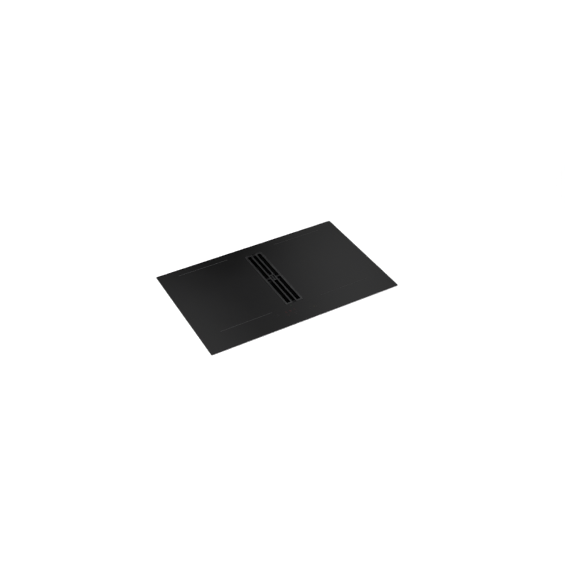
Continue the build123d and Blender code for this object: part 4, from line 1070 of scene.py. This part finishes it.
# The casing's pressings, from its middle, in metres
SIDE_BEADS = ((-0.225, -0.155), (-0.105, 0.105), (0.155, 0.225))    # from and to, front to back
END_BEADS = (-0.115, 0.115)                 # from and to, on the front and the back
END_BEAD_RISE = 9 * MM                      # the two beads there, above and below the middle
HEM_START, HEM_THICK = 6 * MM, 0.8 * MM     # from a corner, and the folded edge's own thickness
SEAM_INSET, SEAM_WIDTH, SEAM_THICK = 12 * MM, 11 * MM, 0.7 * MM     # the lapped sheet beside a corner
SEAM_TOP = 2 * MM                           # from the casing's upper edge to the seam
WELD_HEIGHTS = (0.16, 0.5, 0.84)            # share of the seam
WELD_RISE, WELD_LIFT = 0.5 * MM, 0.3 * MM   # of a spot weld, and of its foot above the wall
WELD_STRETCH = 1.01                         # keeps the two round ends of a weld a hair apart


class COOKTOP_OT_casing(PieceOperator, Operator):
    """Finish the steel casing, its clips and screws, the chute and the mains inlet"""
    bl_idname = "cooktop.casing"
    bl_label = "Casing"
    nodes = ("casing", "worktop_clips", "casing_screws", "inlet_chute", "air_gaskets", "terminal_block",
             "terminal_cover", "cable_gland", "gland_cap")

    def build(self, context):
        look = settings().metal
        low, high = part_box("casing")
        middle = (low.z + high.z) / 2
        walls = ((low, -1), (high, 1))

        def pressings(work):
            for wall, side in walls:
                for near, far in SIDE_BEADS:
                    start, end = (Vector((wall.x, y, middle)) for y in (near, far))
                    bead(work, start, end, look.bead_width, look.bead_rise, Vector((side, 0, 0)))
            for wall, side in walls:
                for z in (middle - END_BEAD_RISE, middle + END_BEAD_RISE):
                    start, end = (Vector((x, wall.y, z)) for x in END_BEADS)
                    bead(work, start, end, look.bead_width, look.bead_rise, Vector((0, side, 0)))

        def hems(work):
            z = low.z + look.hem / 2
            corners = [Vector((x, y, z)) for x, y in
                       ((low.x, low.y), (high.x, low.y), (high.x, high.y), (low.x, high.y))]
            for start, end in zip(corners, corners[1:] + corners[:1]):
                along = (end - start).normalized()
                gap = along * HEM_START
                bar_between(work, start + gap, end - gap, look.hem, HEM_THICK, along.cross(UP))

        def seams(work):
            reach = Vector((look.weld * WELD_STRETCH, 0, 0))
            for end_wall, turn in walls:
                x = end_wall.x - turn * SEAM_INSET
                for wall, side in walls:
                    top = Vector((x, wall.y, high.z - SEAM_TOP))
                    bottom = Vector((x, wall.y, low.z + look.hem))
                    out = Vector((0, side, 0))
                    bar_between(work, bottom, top, SEAM_WIDTH, SEAM_THICK, out)
                    for height in WELD_HEIGHTS:
                        spot = bottom.lerp(top, height) + out * WELD_LIFT
                        bead(work, spot - reach, spot + reach, 2 * look.weld, WELD_RISE, out, 6)

        def edges(work):
            hems(work)
            seams(work)

        for name, build in (("casing_beads", pressings), ("casing_hems", edges)):
            new_piece(name, build, "appliance", finishes["sheet_steel"])


class COOKTOP_OT_heating(PieceOperator, Operator):
    """Finish the coils, their trays and what holds them, with rings of wire around each coil's own middle"""
    bl_idname = "cooktop.heating"
    bl_label = "Heating"
    nodes = ("coil_formers", "coil_ferrites", "mica_sheets", "temperature_sensors", "coil_tray_left",
             "coil_tray_right", "tray_pillars", "tray_springs")
    windings = ("coil_winding_front_left", "coil_winding_back_left", "coil_winding_front_right",
                "coil_winding_back_right")

    def build(self, context):
        for node in self.windings:
            coat(node, finish_winding(f"{node}_wire", *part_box(node)))


class COOKTOP_OT_electronics(PieceOperator, Operator):
    """Finish the boards, heat sinks, touch board and cooling fans"""
    bl_idname = "cooktop.electronics"
    bl_label = "Electronics"
    nodes = ("power_board_left", "power_board_right", "mains_filter_board", "board_components",
             "board_standoffs", "heat_sinks", "touch_board", "touch_board_holder", "touch_pads",
             "cooling_fan_housings", "cooling_fan_rotor_left", "cooling_fan_rotor_right")


class COOKTOP_OT_blower(PieceOperator, Operator):
    """Finish the blower, its motor, collar, control box and lead"""
    bl_idname = "cooktop.blower"
    bl_label = "Blower"
    nodes = ("blower_cover", "scroll_housing", "bell_mouth", "impeller", "motor_rotor_cup", "motor_magnets",
             "motor_shaft", "motor_bushes", "motor_base", "motor_bearings", "motor_stator", "duct_collar",
             "housing_screws", "driver_box", "driver_board", "blower_lead")


STEPS = (COOKTOP_OT_camera, COOKTOP_OT_stage, COOKTOP_OT_glass, COOKTOP_OT_zone_lines,
         COOKTOP_OT_touch_marks, COOKTOP_OT_grille, COOKTOP_OT_filter, COOKTOP_OT_casing, COOKTOP_OT_heating,
         COOKTOP_OT_electronics, COOKTOP_OT_blower)
GROUPS = (CooktopCamera, CooktopStudio, CooktopGlass, CooktopMetal, CooktopPlastic)


class CooktopSettings(PropertyGroup):
    """All sizes and colours of the dressed cooktop."""
    camera: PointerProperty(type=CooktopCamera, name="Camera", description="Where the camera stands")
    studio: PointerProperty(type=CooktopStudio, name="Studio", description="Floor, sky and lamps")
    glass: PointerProperty(type=CooktopGlass, name="Glass", description="Glass plate and prints")
    metal: PointerProperty(type=CooktopMetal, name="Metal", description="Metal finishes")
    plastic: PointerProperty(type=CooktopPlastic, name="Plastic", description="Dull finishes")


class COOKTOP_PT_panel(Panel):
    """The steps that dress the cooktop, and their settings"""
    bl_idname = "COOKTOP_PT_panel"
    bl_label = "Cooktop"
    bl_space_type = "VIEW_3D"
    bl_region_type = "UI"
    bl_category = "Cooktop"

    def draw(self, context):
        for step in STEPS:
            self.layout.operator(step.bl_idname)
        for name in ("camera", "studio", "glass", "metal", "plastic"):
            box = self.layout.box()
            box.label(text=name.title())
            group = getattr(context.scene.cooktop, name)
            for label in group.__annotations__:
                box.prop(group, label)


def register():
    for item in (*GROUPS, CooktopSettings, *STEPS, COOKTOP_PT_panel):
        bpy.utils.register_class(item)
    bpy.types.Scene.cooktop = PointerProperty(type=CooktopSettings)


def unregister():
    del bpy.types.Scene.cooktop
    for item in reversed((*GROUPS, CooktopSettings, *STEPS, COOKTOP_PT_panel)):
        bpy.utils.unregister_class(item)


def main():
    register()
    bpy.context.scene.view_settings.view_transform = "Standard"
    finishes.update(all_finishes())
    for step in STEPS:
        space, name = step.bl_idname.split(".")
        getattr(getattr(bpy.ops, space), name)()


if __name__ == "__main__":
    main()
